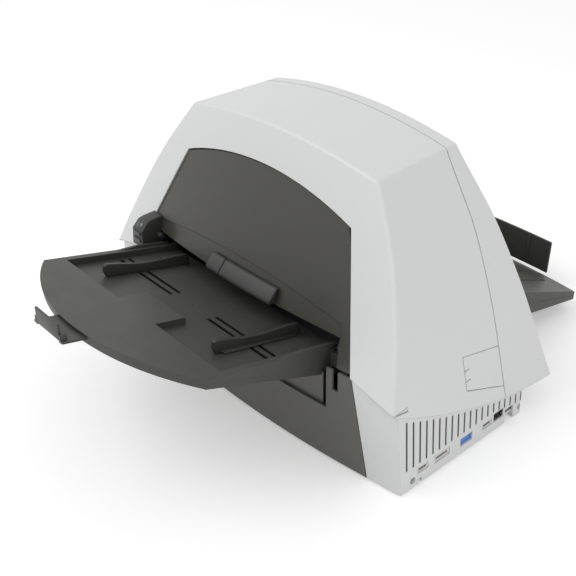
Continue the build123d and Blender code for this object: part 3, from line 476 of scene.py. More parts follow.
def drawn_out(axis: Axis, outline: Outline, low: float, high: float, steps: int = 1) -> Shape:
    """Straight solid with a polygon outline.

    Args:
        axis: Direction along which the outline is drawn out.
        outline: Corners as plane coordinates, in order.
        low: Where the solid starts along the axis.
        high: Where it ends.
        steps: Number of equal lengths it is cut into.

    Returns:
        The closed solid.
    """
    shape = bmesh.new()
    corners = [shape.verts.new(lifted(axis, a, b, low)) for a, b in outline]
    edges = [shape.edges.new(pair) for pair in zip(corners, corners[1:] + corners[:1])]
    face = bmesh.ops.contextual_create(shape, geom=edges)["faces"]
    step = lifted(axis, 0.0, 0.0, (high - low) / steps)
    front = face
    for index in range(steps):
        grown = bmesh.ops.extrude_face_region(shape, geom=front)
        if index > 0:
            bmesh.ops.delete(shape, geom=front, context="FACES_ONLY")
        front = [item for item in grown["geom"] if isinstance(item, bmesh.types.BMFace)]
        tips = {corner for item in front for corner in item.verts}
        bmesh.ops.translate(shape, vec=step, verts=list(tips))
    bmesh.ops.recalc_face_normals(shape, faces=shape.faces[:])
    return shape


def turned(profile: Outline, axis: Axis, centre: Point, steps: int = 32) -> Shape:
    """Turned solid.

    Args:
        profile: Radius and place along the axis of each corner. It starts and ends on the axis, or is closed.
        axis: The axis it turns about.
        centre: A point on that axis, where the place along it is zero.
        steps: Number of flats round it.

    Returns:
        The closed solid.
    """
    shape = bmesh.new()
    corners = [shape.verts.new((radius, 0.0, along)) for radius, along in profile]
    pairs = list(zip(corners, corners[1:]))
    if min(radius for radius, _ in profile) > 0.0:
        pairs.append((corners[-1], corners[0]))
    edges = [shape.edges.new(pair) for pair in pairs]
    bmesh.ops.spin(
        shape, geom=corners + edges, cent=(0.0, 0.0, 0.0), axis=(0.0, 0.0, 1.0), dvec=(0.0, 0.0, 0.0),
        angle=math.tau, steps=steps, use_merge=True, use_duplicate=False,
    )
    bmesh.ops.remove_doubles(shape, verts=shape.verts[:], dist=0.0005)
    bmesh.ops.recalc_face_normals(shape, faces=shape.faces[:])
    quarter = math.pi / 2
    turn = {
        Axis.X: Matrix.Rotation(quarter, 4, "Y"),
        Axis.Y: Matrix.Rotation(-quarter, 4, "X"),
        Axis.Z: Matrix.Identity(4),
    }
    bmesh.ops.transform(shape, matrix=Matrix.Translation(centre) @ turn[axis], verts=shape.verts[:])
    return shape


def rod(
    radius: float, low: float, high: float, chamfer: float, axis: Axis, centre: Point, steps: int = 24
) -> Shape:
    """Round rod with chamfered ends.

    Args:
        radius: The rod's radius.
        low: Where it starts along the axis.
        high: Where it ends.
        chamfer: Width of the chamfers.
        axis: The rod's axis.
        centre: A point on that axis, where the place along it is zero.
        steps: Number of flats round it.

    Returns:
        The closed rod.
    """
    inner = radius - chamfer
    profile = [(0.0, low), (inner, low), (radius, low + chamfer)]
    profile += [(radius, high - chamfer), (inner, high), (0.0, high)]
    return turned(profile, axis, centre, steps)


def bevelled(shape: Shape, edges: list[bmesh.types.BMEdge], radius: float, segments: int) -> Shape:
    """Rounds the given edges of a shape and returns it."""
    bmesh.ops.bevel(
        shape, geom=edges, offset=radius, offset_type="OFFSET", segments=segments, profile=0.5, affect="EDGES",
        clamp_overlap=True, material=-1,
    )
    return shape


def soften(shape: Shape, radius: float, segments: int = 2, sharper_than: float = 30.0) -> Shape:
    """Rounds the edges that are sharper than an angle in degrees, and returns the shape."""
    limit = math.radians(sharper_than)
    edges = [edge for edge in shape.edges if len(edge.link_faces) == 2 and edge.calc_face_angle() > limit]
    return bevelled(shape, edges, radius, segments)


def moved(shape: Shape, matrix: Matrix) -> Shape:
    """Moves a shape by a matrix and returns it."""
    bmesh.ops.transform(shape, matrix=matrix, verts=shape.verts[:])
    return shape


def joined(shapes: list[Shape]) -> Shape:
    """Puts several shapes into one, and frees them."""
    whole = bmesh.new()
    for shape in shapes:
        mesh = bpy.data.meshes.new("loose")
        shape.to_mesh(mesh)
        shape.free()
        whole.from_mesh(mesh)
        bpy.data.meshes.remove(mesh)
    return whole


def mirrored(shape: Shape) -> Shape:
    """Copy of a shape on the other side of the scanner, with its faces still outwards."""
    other = shape.copy()
    bmesh.ops.scale(other, vec=(-1.0, 1.0, 1.0), verts=other.verts[:])
    bmesh.ops.reverse_faces(other, faces=other.faces[:])
    return other


class Workshop:
    """Turns shapes into dressed pieces that ride on the scanner's bodies."""

    merge_distance: float = 0.002
    flat_angle: float = 0.8
    sharp_angle: float = 32.0

    def __init__(self) -> None:
        """Builds the shared effects and starts with no materials."""
        self.effects = Effects()
        self.materials: dict[str, bpy.types.Material] = {}

    def material(self, finish: Finish) -> bpy.types.Material:
        """The material of a finish, built on first use."""
        if finish.name not in self.materials:
            self.materials[finish.name] = finish.build(self.effects)
        return self.materials[finish.name]

    def publish(
        self, name: str, shape: Shape, finish: Finish, body: str, nodes: tuple[str, ...] = (),
        smooth: float = 35.0,
    ) -> bpy.types.Object:
        """Makes a piece of a shape.

        Args:
            name: The piece's name.
            shape: Its shape, in millimetres, which is freed.
            finish: Its finish.
            body: The body that it rides on.
            nodes: CAD nodes that it stands for.
            smooth: Edges flatter than this angle, in degrees, are shaded smooth.

        Returns:
            The piece.
        """
        bmesh.ops.scale(shape, vec=(MM, MM, MM), verts=shape.verts[:])
        limit = math.radians(smooth)
        for face in shape.faces:
            face.smooth = True
        for edge in shape.edges:
            edge.smooth = len(edge.link_faces) == 2 and edge.calc_face_angle() < limit
        mesh = bpy.data.meshes.new(name)
        shape.to_mesh(mesh)
        shape.free()
        mesh.materials.append(self.material(finish))
        piece = bpy.data.objects.new(name, mesh)
        bpy.context.scene.collection.objects.link(piece)
        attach(piece, body)
        if nodes:
            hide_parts(*nodes)
        LOG.info("%s: %d faces", name, len(mesh.polygons))
        return piece

    def _copied(self, node: str) -> Shape:
        """Merged copy of a CAD node's shape, in millimetres."""
        shape = bmesh.new()
        shape.from_mesh(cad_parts[node].data)
        bmesh.ops.scale(shape, vec=(1.0 / MM,) * 3, verts=shape.verts[:])
        bmesh.ops.remove_doubles(shape, verts=shape.verts[:], dist=self.merge_distance)
        bmesh.ops.dissolve_limit(
            shape, angle_limit=math.radians(self.flat_angle), use_dissolve_boundaries=False,
            verts=shape.verts[:], edges=shape.edges[:], delimit=set(),
        )
        return shape

    def rounded(
        self, node: str, finish: Finish, body: Body, radius: float, segments: int = 3
    ) -> bpy.types.Object:
        """Replaces a CAD node by a copy of itself with rounded edges.

        Args:
            node: The CAD node.
            finish: The piece's finish.
            body: The body that the node rides on.
            radius: Radius of the edges, in millimetres.
            segments: Number of flats round an edge.

        Returns:
            The piece.
        """
        shape = soften(self._copied(node), radius, segments, self.sharp_angle)
        return self.publish(f"{node}_rounded", shape, finish, body.value, (node,))

    def dress(self, node: str, finish: Finish) -> None:
        """Gives a CAD node its finish."""
        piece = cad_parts[node]
        piece.data.materials.clear()
        piece.data.materials.append(self.material(finish))


# Sub-assemblies


@dataclass
class RoundedParts:
    """CAD parts that are finished by rounding their edges, with the radius of each in millimetres."""

    parts: tuple[tuple[str, Finish, Body, float], ...] = (
        ("start_key", KEY, Body.START, 0.5),
        ("stop_key", KEY, Body.STOP, 0.5),
        ("output_stop", TRAY, Body.STOP_FLAP, 1.2),
        ("side_guide_right", DARK, Body.GUIDE_RIGHT, 1.0),
        ("side_guide_left", DARK, Body.GUIDE_LEFT, 1.0),
    )

    def build(self, shop: Workshop) -> None:
        """Replaces each part by its rounded copy."""
        for node, finish, body, radius in self.parts:
            shop.rounded(node, finish, body, radius)


@dataclass
class LeaningFace:
    """Bowed front of the casing, which the cover's fittings follow, in millimetres."""

    depth_at_top: float = -84.1
    top: float = 340.0
    slope: float = 0.399
    bow: float = 1500.0

    def depth(self, height: float, proud: float) -> float:
        """Y of a point on the face's middle line, standing proud of it."""
        return self.depth_at_top - self.slope * (self.top - height) - proud

    def bend(self, shape: Shape) -> None:
        """Bends a shape round the bowed face."""
        for corner in shape.verts:
            corner.co.y += corner.co.x ** 2 / (2.0 * self.bow)


@dataclass
class CoverGrips:
    """Release handle and gap release on the foot of the cover, in millimetres."""

    handle_reach: tuple[float, float] = (-18.0, 77.0)
    release_reach: tuple[float, float] = (-45.0, -19.0)
    section: tuple[tuple[float, float], ...] = (
        (-1.3, 193.0), (3.2, 192.7), (8.8, 181.2), (9.2, 177.2), (7.2, 174.6), (-1.3, 174.6),
    )
    edge: float = 1.4
    end_angle: float = 1.0
    long_angle: float = 0.4
    face: LeaningFace = field(default_factory=LeaningFace)

    def build(self, shop: Workshop) -> None:
        """Builds both grips."""
        handle = self._bar(*self.handle_reach)
        shop.publish("release_handle_grip", handle, DARK, Body.HANDLE.value, ("cover_release_handle",))
        release = self._bar(*self.release_reach)
        shop.publish("gap_release_slider", release, DARK, Body.GAP_LEVER.value, ("gap_release",))

    def _bar(self, low: float, high: float) -> Shape:
        """Bar with the sloping top of the grips, between two places along X."""
        outline = [(self.face.depth(height, proud), height) for proud, height in self.section]
        bar = drawn_out(Axis.X, outline, low, high, steps=12)
        ends = [edge for edge in bar.edges if len({round(corner.co.x, 3) for corner in edge.verts}) == 1]
        sharp = [edge for edge in ends if edge.calc_face_angle() > self.end_angle]
        sharp += [edge for edge in bar.edges if edge not in ends and edge.calc_face_angle() > self.long_angle]
        bevelled(bar, sharp, self.edge, 3)
        self.face.bend(bar)
        return bar


@dataclass
class PodPivot:
    """Small round stub between the pod and the cover's foot, in millimetres."""

    centre: Point = (-166.5, -142.5, 168.0)
    radius: float = 3.6
    half: float = 4.5
    chamfer: float = 0.8
    dimple: tuple[float, float] = (1.6, 1.2)

    def build(self, shop: Workshop) -> None:
        """Builds the stub with its dimpled end."""
        outer, inner = self.dimple
        shoulder = self.half - self.chamfer
        profile = [
            (0.0, -self.half), (self.radius, -self.half), (self.radius, shoulder),
            (self.radius - self.chamfer, self.half), (outer, self.half), (inner, shoulder), (0.0, shoulder),
        ]
        shop.publish("pod_pivot_stub", turned(profile, Axis.X, self.centre), DARK, Body.COVER.value)


@dataclass
class Rollers:
    """Paper transport rollers: steel shafts with grooved rubber tyres, in millimetres.

    Each entry of tyres holds the radius, half width, number and reach of one shaft's tyres.
    """

    tyres: dict[str, tuple[float, float, int, float]] = field(default_factory=lambda: {
        "feed_roller": (12.0, 14.0, 3, 60.0),
        "separation_roller": (12.0, 14.0, 3, 60.0),
        "entry_drive_roller": (10.0, 9.0, 4, 120.0),
        "entry_pinch_roller": (8.0, 9.0, 4, 120.0),
        "middle_drive_roller": (10.0, 9.0, 4, 120.0),
        "middle_pinch_roller": (8.0, 9.0, 4, 120.0),
        "exit_drive_roller": (10.0, 9.0, 4, 120.0),
        "exit_pinch_roller": (8.0, 9.0, 4, 120.0),
    })
    shaft_radius: float = 4.0
    chamfer: float = 0.6
    groove_pitch: float = 2.0
    groove_depth: float = 0.45
    groove_start: float = 0.3
    groove_places: tuple[float, float, float] = (1.1, 1.3, 1.5)
    pulley_reach: tuple[float, float] = (-187.0, -178.0)
    pulley_radius: float = 9.0
    pulley_rim: tuple[float, float] = (0.4, 0.9)
    track_depth: float = 0.3

    def build(self, shop: Workshop) -> None:
        """Builds the shaft, tyres and pulley of each roller."""
        for name, (radius, half, count, reach) in self.tyres.items():
            low, high = (Vector(corner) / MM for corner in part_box(name))
            centre = (0.0, (low.y + high.y) / 2, (low.z + high.z) / 2)
            body = f"{name}_body"
            shaft = rod(self.shaft_radius, low.x, high.x, self.chamfer, Axis.X, centre)
            shop.publish(f"{name}_shaft", shaft, SHAFT_STEEL, body, (name,))
            rings = [self._tyre(radius, half, (place, *centre[1:])) for place in self._places(count, reach)]
            shop.publish(f"{name}_tyres", joined(rings), TYRE, body)
            if low.x < self.pulley_reach[0] + 1.0:
                shop.publish(f"{name}_pulley", self._pulley(centre), BUSH, body)

    @staticmethod
    def _places(count: int, reach: float) -> list[float]:
        """Centres of evenly spaced tyres out to a reach on both sides."""
        return [reach * (2.0 * index / (count - 1) - 1.0) for index in range(count)]

    def _tyre(self, radius: float, half: float, centre: Point) -> Shape:
        """Rubber tyre with fine grooves round it."""
        shoulder, bottom = radius - self.chamfer, radius - self.groove_depth
        land, flank, floor = self.groove_places
        profile = [(self.shaft_radius, -half), (shoulder, -half)]
        for index in range(int(2.0 * half / self.groove_pitch)):
            start = -half + index * self.groove_pitch + self.groove_start
            profile += [(radius, start), (radius, start + land), (bottom, start + flank), (bottom, start + floor)]
        profile += [(shoulder, half), (self.shaft_radius, half)]
        return turned(profile, Axis.X, centre, 36)

    def _pulley(self, centre: Point) -> Shape:
        """Belt pulley with a shallow track between two rims."""
        low, high = self.pulley_reach
        rim, track = self.pulley_radius, self.pulley_radius - self.track_depth
        edge, flank = self.pulley_rim
        profile = [
            (self.shaft_radius, low), (rim - edge, low), (rim, low + edge), (track, low + flank),
            (track, high - flank), (rim, high - edge), (rim - edge, high), (self.shaft_radius, high),
        ]
        return turned(profile, Axis.X, centre, 36)


@dataclass
class CoolingFan:
    """Fan wheel with twisted blades, in millimetres."""

    hub_radius: float = 13.0
    tip_radius: float = 33.4
    blade_count: int = 7
    chord: float = 14.0
    thickness: float = 1.2
    root_pitch: float = 38.0
    tip_pitch: float = 22.0
    root_sink: float = 1.0
    side_gap: float = 0.6
    hub_edge: float = 1.5
    axle: tuple[float, float] = (-20.0, 53.0)

    def build(self, shop: Workshop) -> None:
        """Builds the hub and its blades in place of the plain wheel."""
        low, high = (Vector(corner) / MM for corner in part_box("fan_wheel"))
        middle = (low + high) / 2
        centre = (middle.x, *self.axle)
        half, edge = (high.x - low.x) / 2, self.hub_edge
        profile = [
            (0.0, -half), (self.hub_radius - edge, -half), (self.hub_radius, edge - half),
            (self.hub_radius, half), (0.0, half),
        ]
        hub = turned(profile, Axis.X, centre)
        blades = [self._blade(half, index, centre) for index in range(self.blade_count)]
        shop.publish("fan_blades", joined([hub, *blades]), SOCKET, Body.FAN.value, ("fan_wheel",))

    def _blade(self, half: float, index: int, centre: Point) -> Shape:
        """One blade, twisted from its root to its tip and turned to its place."""
        root, across, through = self.hub_radius - self.root_sink, self.chord / 2, self.thickness / 2
        blade = cuboid((-across, root, -through), (across, self.tip_radius, through))
        along = [edge for edge in blade.edges if abs(edge.verts[0].co.y - edge.verts[1].co.y) > 1.0]
        bmesh.ops.subdivide_edges(blade, edges=along, cuts=6, use_grid_fill=True)
        for corner in blade.verts:
            share = (corner.co.y - root) / (self.tip_radius - root)
            pitch = math.radians(90.0 - self.root_pitch + (self.root_pitch - self.tip_pitch) * share)
            reach = corner.co.x * min(1.0, (half - self.side_gap) / abs(across * math.cos(pitch)))
            corner.co.x, corner.co.z = (
                reach * math.cos(pitch) - corner.co.z * math.sin(pitch),
                reach * math.sin(pitch) + corner.co.z * math.cos(pitch),
            )
        turn = Matrix.Rotation(math.tau * index / self.blade_count, 4, "X")
        return moved(blade, Matrix.Translation(centre) @ turn)


@dataclass
class VentShadeFillers:
    """Black fillers that paint the shade inside the vents of the base: a thin dark sheet behind each side wall,
    with ribs that fill the vents, in millimetres.
    """

    wall_foot: float = 282.5
    lean: float = 0.09
    sunk: float = 0.7
    behind: float = 3.2
    thickness: float = 0.7
    reach: tuple[float, float] = (-134.0, 100.0)
    top_parts: int = 12
    foot: float = 28.5
    count: int = 20
    first: float = -123.3
    pitch: float = 11.5
    width: float = 2.9
    slot_foot: float = 31.1
    shortest: float = 13.8
    head_gap: float = 7.6
    overlap: float = 0.1
    skirt: tuple[tuple[float, float], ...] = ((-150.0, 120.0), (-2.5, 63.0), (145.0, 35.0))

    def build(self, shop: Workshop) -> None:
        """Builds a leaning dark sheet with its ribs behind each side wall, as painted shade in the vents."""
        ribs = [self._rib(self.first + index * self.pitch) for index in range(self.count)]
        right = joined([self._shade_sheet(), *ribs])
        for corner in right.verts:
            corner.co.x += self.wall_foot - self.lean * corner.co.z
        left = mirrored(right)
        # The black socket plastic here is painted shade: it fills the vents, where there is only shade.
        shop.publish("vent_shade_fillers", joined([right, left]), SOCKET, Body.FRAME.value)

    def _skirt_height(self, y: float) -> float:
        """Height of the casing's lower edge, on the parabola through its three points."""
        (y0, z0), (_, middle), (y2, z2) = self.skirt
        share = (y - y0) / (y2 - y0)
        return z0 + (z2 - z0) * share + 4.0 * (middle - (z0 + z2) / 2.0) * share * (1.0 - share)

    def _shade_sheet(self) -> Shape:
        """Thin dark sheet, painted shade behind the vents, whose top follows the casing's lower edge."""
        low, high = self.reach
        places = [high + (low - high) * index / self.top_parts for index in range(self.top_parts + 1)]
        top = [(y, self._skirt_height(y) - self.head_gap / 2.0) for y in places]
        outline = [(low, self.foot), (high, self.foot), *top]
        return drawn_out(Axis.X, outline, -self.behind - self.thickness, -self.behind)

    def _rib(self, y: float) -> Shape:
        """Dark rib that fills one vent to just below the wall's outer face, painting the vent's shade."""
        head = self._skirt_height(y) - self.head_gap
        foot = min(self.slot_foot, head - self.shortest)
        half = self.width / 2.0
        return cuboid((-self.behind - self.overlap, y - half, foot), (-self.sunk, y + half, head))


@dataclass
class PortDetails:
    """Faces, dark slits of painted shade and contacts of the sockets in the right wall, in millimetres.

    Each entry of ports holds a socket's name, its opening along Y and Z, and its number of contacts.
    """

    back: float = 279.3
    face: float = 280.15
    ports: tuple[tuple[str, float, float, float, float, int], ...] = (
        ("accessory", -104.0, -86.0, 17.0, 25.0, 5),
        ("interface", -74.0, -47.0, 15.0, 25.0, 12),
        ("serial", 17.0, 35.0, 15.0, 23.0, 5),
    )
    slit_half: float = 1.5
    sunk: float = 0.7
    gap: float = 0.1
    slit_face: float = 0.35
    pin_inset: float = 1.2
    pin_tips: tuple[float, float] = (0.45, 0.5)
    pin_half: tuple[float, float] = (0.25, 0.5)
    pin_length: float = 2.0
    video: tuple[float, float, float, float] = (-25.5, -4.5, 13.5, 23.5)
    video_depth: tuple[float, float] = (3.0, 0.2)
    video_rim: float = 2.6
    video_sunk: float = 1.4
    video_edge: float = 0.5
    power: tuple[float, float, float] = (42.5, 54.5, 21.0)
    power_pins: int = 3

    def build(self, shop: Workshop) -> None:
        """Builds the metal face, the dark slit of painted shade and the contacts of each socket."""
        for name, y0, y1, z0, z1, count in self.ports:
            middle, rim = (z0 + z1) / 2, (z1 - z0) / 2 - self.slit_half
            plate = self._sunk_block((self.back, y0, z0), (self.face, y1, z1), rim, self.sunk)
            shop.publish(f"{name}_socket_face", plate, PORT_METAL, Body.FRAME.value)
            # Painted shade: the slit is a thin dark sheet on the sunk metal face that stands for the socket's
            # opening, its darkness painted as the shade inside it.
            low, high, half = y0 + rim + self.gap, y1 - rim - self.gap, self.slit_half - self.gap
            behind, before = self.back + self.gap, self.back + self.slit_face
            slit = cuboid((behind, low, middle - half), (before, high, middle + half))
            shop.publish(f"{name}_socket_slit_shade", slit, SOCKET, Body.FRAME.value)
            pins = self._pins(low + self.pin_inset, high - self.pin_inset, middle, count, self.pin_tips[0])
            shop.publish(f"{name}_socket_contacts", pins, CONTACT, Body.FRAME.value)
        (y0, y1, z0, z1), (behind, before) = self.video, self.video_depth
        insert = self._sunk_block(
            (self.back - behind, y0, z0), (self.back - before, y1, z1), self.video_rim, self.video_sunk
        )
        shop.publish("video_socket_insert", soften(insert, self.video_edge), BLUE, Body.FRAME.value)
        blades = self._pins(*self.power, self.power_pins, self.pin_tips[1])
        shop.publish("power_inlet_contacts", blades, CONTACT, Body.FRAME.value)

    @staticmethod
    def _sunk_block(low: Point, high: Point, rim: float, depth: float) -> Shape:
        """Block whose outer face is sunk inside a rim.

        Args:
            low: Its lowest corner.
            high: Its highest corner.
            rim: Width of the rim.
            depth: Depth of the sunk place.

        Returns:
            The closed block.
        """
        block = cuboid(low, high)
        front = [item for item in block.faces if item.normal.x > 0.9]
        bmesh.ops.inset_region(block, faces=front, thickness=rim, use_even_offset=True)
        sunk = [corner for item in front for corner in item.verts]
        bmesh.ops.translate(block, vec=(-depth, 0.0, 0.0), verts=sunk)
        return block

    def _pins(self, low: float, high: float, height: float, count: int, proud: float) -> Shape:
        """Row of flat contacts along Y, whose tips stand proud of the socket's back."""
        tip, (across, up) = self.back + proud, self.pin_half
        places = [low + (high - low) * index / (count - 1) for index in range(count)]
        return joined([
            cuboid((tip - self.pin_length, y - across, height - up), (tip, y + across, height + up))
            for y in places
        ])


@dataclass
class ControlPod:
    """Pod of the keys on the cover's left, with its sloping top and its window, in millimetres."""

    reach: tuple[float, float] = (-197.0, -171.0)
    outline: tuple[tuple[float, float], ...] = (
        (-168.0, 153.0), (-167.6, 178.0), (-158.0, 188.5), (-150.0, 190.5), (-128.0, 191.5), (-128.0, 160.0),
        (-136.0, 153.0),
    )
    taper: float = 0.20
    edge: float = 1.4
    edge_angle: float = 12.0
    window_centre: Point = (-184.0, -163.0, 183.4)
    window_half: tuple[float, float, float] = (6.0, 0.6, 4.2)
    window_lean: float = 42.4
    window_edge: float = 0.35

    def build(self, shop: Workshop) -> None:
        """Builds the pod and its window."""
        pod = drawn_out(Axis.X, list(self.outline), *self.reach)
        middle = sum(self.reach) / 2.0
        foot = min(height for _, height in self.outline)
        top = max(height for _, height in self.outline)
        for corner in pod.verts:
            share = (corner.co.z - foot) / (top - foot)
            corner.co.x = middle + (corner.co.x - middle) * (1.0 - self.taper * share)
        soften(pod, self.edge, 3, self.edge_angle)
        shop.publish("control_pod_rounded", pod, DARK, Body.COVER.value, ("control_pod",))
        half = self.window_half
        window = soften(cuboid(tuple(-side for side in half), half), self.window_edge)
        lean = Matrix.Rotation(-math.radians(self.window_lean), 4, "X")
        moved(window, Matrix.Translation(self.window_centre) @ lean)
        shop.publish("pod_window", window, DISPLAY, Body.COVER.value, ("pod_display",))


@dataclass
class ExtensionTab:
    """Folding paper stop with a rounded top at the end of the tray's extension, in millimetres."""

    half: float = 24.0
    depth: tuple[float, float] = (-400.0, -397.2)
    height: tuple[float, float] = (209.0, 230.0)
    top_round: float = 3.0
    edge: float = 0.6
    hinge_depth: float = -396.0
    barrel_radius: float = 2.2
    barrel_chamfer: float = 0.4
    barrel_gap: tuple[float, float] = (6.0, 0.2)

    def build(self, shop: Workshop) -> None:
        """Builds the tab with its barrel."""
        (y0, y1), (z0, z1) = self.depth, self.height
        tab = cuboid((-self.half, y0, z0), (self.half, y1, z1))
        upper = [edge for edge in tab.edges if all(corner.co.z > z1 - 0.01 for corner in edge.verts)]
        bevelled(tab, upper, self.top_round, 4)
        soften(tab, self.edge, 2, 40.0)
        low, high = (Vector(corner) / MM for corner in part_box("extension_stop"))
        aside, above = self.barrel_gap
        centre = (0.0, self.hinge_depth, low.z + self.barrel_radius + above)
        reach = high.x - aside
        barrel = rod(self.barrel_radius, -reach, reach, self.barrel_chamfer, Axis.X, centre)
        shop.publish("extension_tab", joined([tab, barrel]), TRAY, Body.EXTENSION_FLAP.value, ("extension_stop",))


@dataclass
class TrayApron:
    """Bowed plate behind the front panel, which closes its opening and sinks with the tray, in millimetres."""

    half: float = 166.0
    outer: tuple[float, float] = (-157.97, -159.3)
    thickness: float = 1.5
    height: tuple[float, float] = (66.0, 124.0)
    face: LeaningFace = field(default_factory=LeaningFace)

    def build(self, shop: Workshop) -> None:
        """Builds the plate just behind the panel."""
        (front_foot, front_top), (foot, top) = self.outer, self.height
        outline = [(front_foot, foot), (front_foot + self.thickness, foot)]
        outline += [(front_top + self.thickness, top), (front_top, top)]
        plate = drawn_out(Axis.X, outline, -self.half, self.half, steps=24)
        self.face.bend(plate)
        shop.publish("tray_apron", plate, PANEL, Body.TRAY.value)


@dataclass
class OutputStopRidge:
    """Upright ridge on the side of the output stop that faces the scanner, in millimetres."""

    low: Point = (75.0, 386.3, 28.0)
    high: Point = (79.5, 390.0, 76.0)
    edge: float = 0.7

    def build(self, shop: Workshop) -> None:
        """Builds the ridge."""
        ridge = soften(cuboid(self.low, self.high), self.edge)
        shop.publish("output_stop_ridge", ridge, TRAY, Body.STOP_FLAP.value)


@dataclass
class LightBaffles:
    """Black plates that keep stray light out of the paper path, in millimetres."""

    inner: float = 213.0
    thickness: float = 1.5
    depth: tuple[float, float] = (-124.0, -40.0)
    height: tuple[float, float] = (64.0, 150.0)
    flange: float = 9.0

    def build(self, shop: Workshop) -> None:
        """Builds a folded plate on each side."""
        (y0, y1), outer = self.depth, self.inner + self.thickness
        tip, inside = outer + self.flange, y1 - self.thickness
        fold = [(self.inner, y0), (outer, y0), (outer, inside), (tip, inside), (tip, y1), (self.inner, y1)]
        right = drawn_out(Axis.Z, fold, *self.height)
        left = mirrored(right)
        shop.publish("light_baffles", joined([right, left]), COATED_STEEL, Body.FRAME.value)


@dataclass
class TrayPivots:
    """Round recesses in the input tray's side walls, in millimetres.

    Each entry of dish holds how far inwards a corner of the plug's face lies, and how far out it stands.
    """

    centre: Point = (165.0, -147.4, 140.1)
    radius: float = 2.3
    back: float = -1.5
    dish: tuple[tuple[float, float], ...] = ((0.0, 0.25), (0.5, 0.3), (0.8, -0.6))

    def build(self, shop: Workshop) -> None:
        """Builds the dark dished plug on each side."""
        face = [(self.radius - inwards, out) for inwards, out in self.dish]
        profile = [(0.0, self.back), (self.radius, self.back), *face, (0.0, self.dish[-1][1])]
        right = turned(profile, Axis.X, self.centre, 24)
        left = mirrored(right)
        shop.publish("tray_pivot_plugs", joined([right, left]), SOCKET, Body.TRAY.value)


@dataclass
class Feet:
    """Domed rubber feet, in millimetres.

    Each entry of dome holds how far inwards a corner of the foot's edge lies, and its height.
    """

    places: tuple[tuple[float, float], ...] = ((256.0, -121.0), (256.0, 90.0), (-256.0, -121.0), (-256.0, 90.0))
    radius: float = 9.0
    height: float = 2.0
    dome: tuple[tuple[float, float], ...] = ((2.2, 0.0), (0.7, 0.3), (0.0, 1.0))

    def build(self, shop: Workshop) -> None:
        """Builds the four feet in place of the plain pads."""
        edge = [(self.radius - inwards, height) for inwards, height in self.dome]
        profile = [(0.0, 0.0), *edge, (self.radius, self.height), (0.0, self.height)]
        feet = [turned(profile, Axis.Z, (x, y, 0.0)) for x, y in self.places]
        shop.publish("domed_feet", joined(feet), RUBBER, Body.FRAME.value, ("rubber_feet",))


@dataclass
class CarriedOver:
    """CAD parts whose shape already is the finished one."""

    finishes: dict[Finish, tuple[str, ...]] = field(default_factory=lambda: {
        SHELL: ("front_casing", "rear_cover", "side_access_door"),
        BASE: ("base_tub",),
        PANEL: ("front_panel",),
        COVER: ("scanner_cover",),
        TRAY: (
            "input_tray", "input_tray_lower_shell", "output_tray", "output_tray_lower_shell", "tray_extension",
            "throat_cheeks", "output_stop_carriage",
        ),
        DARK: ("lower_camera_housing", "upper_camera_housing"),
        SHEET_STEEL: ("cover_hinge_brackets",),
        COATED_STEEL: ("side_plate_right", "side_plate_left", "cross_beams", "rail_brackets", "lift_rails"),
        SHAFT_STEEL: ("cover_hinge_pins", "output_hinge_pins", "base_screws"),
        BUSH: ("shaft_bushes",),
        DARK_BUSH: ("guide_pinion",),
        BELT: ("drive_belt",),
        SOCKET: (
            "accessory_socket", "interface_socket", "serial_socket", "power_inlet", "fan_frame", "motor_pulley",
        ),
        BLUE: ("video_socket",),
        BOARD: ("controller_board", "camera_boards"),
        MOTOR_CAN: ("drive_motor",),
        SUPPLY_CASE: ("power_supply",),
        DISPLAY: ("pod_display",),
        GLASS: ("lower_camera_glass", "upper_camera_glass"),
    })

    def dress(self, shop: Workshop) -> None:
        """Gives each CAD part its finish."""
        for finish, nodes in self.finishes.items():
            for node in nodes:
                shop.dress(node, finish)


# Studio


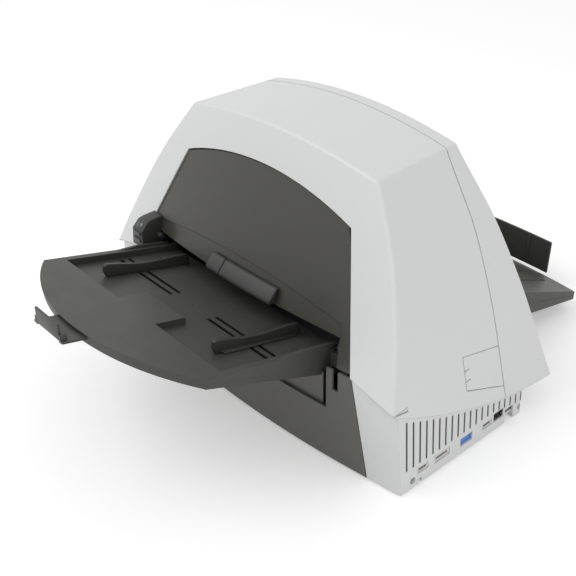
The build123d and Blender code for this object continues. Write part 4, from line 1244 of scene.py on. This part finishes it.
@dataclass
class Studio:
    """Pale floor, soft light and the camera, in metres and degrees."""

    camera_place: Point = (0.76878, -0.74235, 0.75527)
    azimuth: float = 48.26
    elevation: float = 31.51
    lens: float = 56.70
    sensor: float = 36.0
    floor_size: float = 80.0
    floor_colour: float = 0.92
    floor_lift: float = 0.30
    sky: float = 0.62
    key_power: float = 34.0
    key_place: Point = (-1.3, -1.9, 2.7)
    key_size: float = 2.2
    fill_power: float = 12.0
    fill_place: Point = (2.6, -0.6, 1.5)
    fill_size: float = 2.0
    lit_point: Point = (0.0, 0.0, 0.15)
    nearest_seen: float = 0.01

    def build(self) -> None:
        """Sets up the floor, the light and the camera."""
        self._floor()
        self._world()
        self._lamp("key_light", self.key_place, self.key_size, self.key_power)
        self._lamp("fill_light", self.fill_place, self.fill_size, self.fill_power)
        self._camera()
        bpy.context.scene.view_settings.view_transform = "Standard"

    def _floor(self) -> None:
        """Pale floor that keeps the scanner's shadow."""
        shape = bmesh.new()
        bmesh.ops.create_grid(shape, x_segments=1, y_segments=1, size=self.floor_size / 2)
        mesh = bpy.data.meshes.new("floor")
        shape.to_mesh(mesh)
        shape.free()
        material, shader = new_material("pale_floor")
        tree = material.node_tree
        tone = self.floor_colour
        shader.inputs["Base Color"].default_value = (tone, tone, tone, 1.0)
        shader.inputs["Roughness"].default_value = 0.9
        shader.inputs["Specular IOR Level"].default_value = 0.0
        inputs = {0: self._seen(tree), 1: self.floor_lift}
        lift = placed(tree, "ShaderNodeMath", inputs, operation="MULTIPLY")
        shader.inputs["Emission Color"].default_value = (1.0, 1.0, 1.0, 1.0)
        tree.links.new(lift.outputs["Value"], shader.inputs["Emission Strength"])
        mesh.materials.append(material)
        floor = bpy.data.objects.new("floor", mesh)
        bpy.context.scene.collection.objects.link(floor)

    @staticmethod
    def _seen(tree: Tree) -> Socket:
        """One where a camera, glossy or transmitted ray arrives, and zero elsewhere."""
        path = tree.nodes.new("ShaderNodeLightPath")
        total = path.outputs["Is Camera Ray"]
        for label in ("Is Glossy Ray", "Is Transmission Ray"):
            inputs = {0: total, 1: path.outputs[label]}
            total = placed(tree, "ShaderNodeMath", inputs, operation="MAXIMUM").outputs["Value"]
        return total

    def _world(self) -> None:
        """White surroundings that light the scanner evenly."""
        world = bpy.data.worlds.new("pale_room")
        bpy.context.scene.world = world
        world.use_nodes = True
        tree = world.node_tree
        background = tree.nodes["Background"]
        strength = placed(tree, "ShaderNodeMapRange", {"Value": self._seen(tree), "To Min": self.sky})
        background.inputs["Color"].default_value = (1.0, 1.0, 1.0, 1.0)
        tree.links.new(strength.outputs["Result"], background.inputs["Strength"])

    def _lamp(self, name: str, place: Point, size: float, power: float) -> None:
        """Large soft lamp that looks at the scanner.

        Args:
            name: The lamp's name.
            place: Where it stands.
            size: Side of its square face.
            power: Its power in watts.
        """
        data = bpy.data.lights.new(name, "AREA")
        data.size = size
        data.energy = power
        lamp = bpy.data.objects.new(name, data)
        lamp.location = place
        aim = Vector(self.lit_point) - Vector(place)
        lamp.rotation_euler = aim.to_track_quat("-Z", "Y").to_euler()
        bpy.context.scene.collection.objects.link(lamp)

    def _camera(self) -> None:
        """Camera at the product view's angle."""
        data = bpy.data.cameras.new("camera")
        data.lens = self.lens
        data.sensor_width = self.sensor
        data.clip_start = self.nearest_seen
        camera = bpy.data.objects.new("camera", data)
        camera.location = self.camera_place
        camera.rotation_euler = (math.radians(90.0 - self.elevation), 0.0, math.radians(self.azimuth))
        bpy.context.scene.collection.objects.link(camera)
        bpy.context.scene.camera = camera


def main() -> None:
    """Builds and dresses the scanner, then sets up the studio."""
    logging.basicConfig(level=logging.INFO, format="%(name)s: %(message)s")
    shop = Workshop()
    CarriedOver().dress(shop)
    for assembly in (
        RoundedParts(), CoverGrips(), ControlPod(), PodPivot(), Rollers(), CoolingFan(), VentShadeFillers(),
        PortDetails(), ExtensionTab(), TrayApron(), OutputStopRidge(), LightBaffles(), TrayPivots(), Feet(),
    ):
        assembly.build(shop)
    Studio().build()


if __name__ == "__main__":
    main()
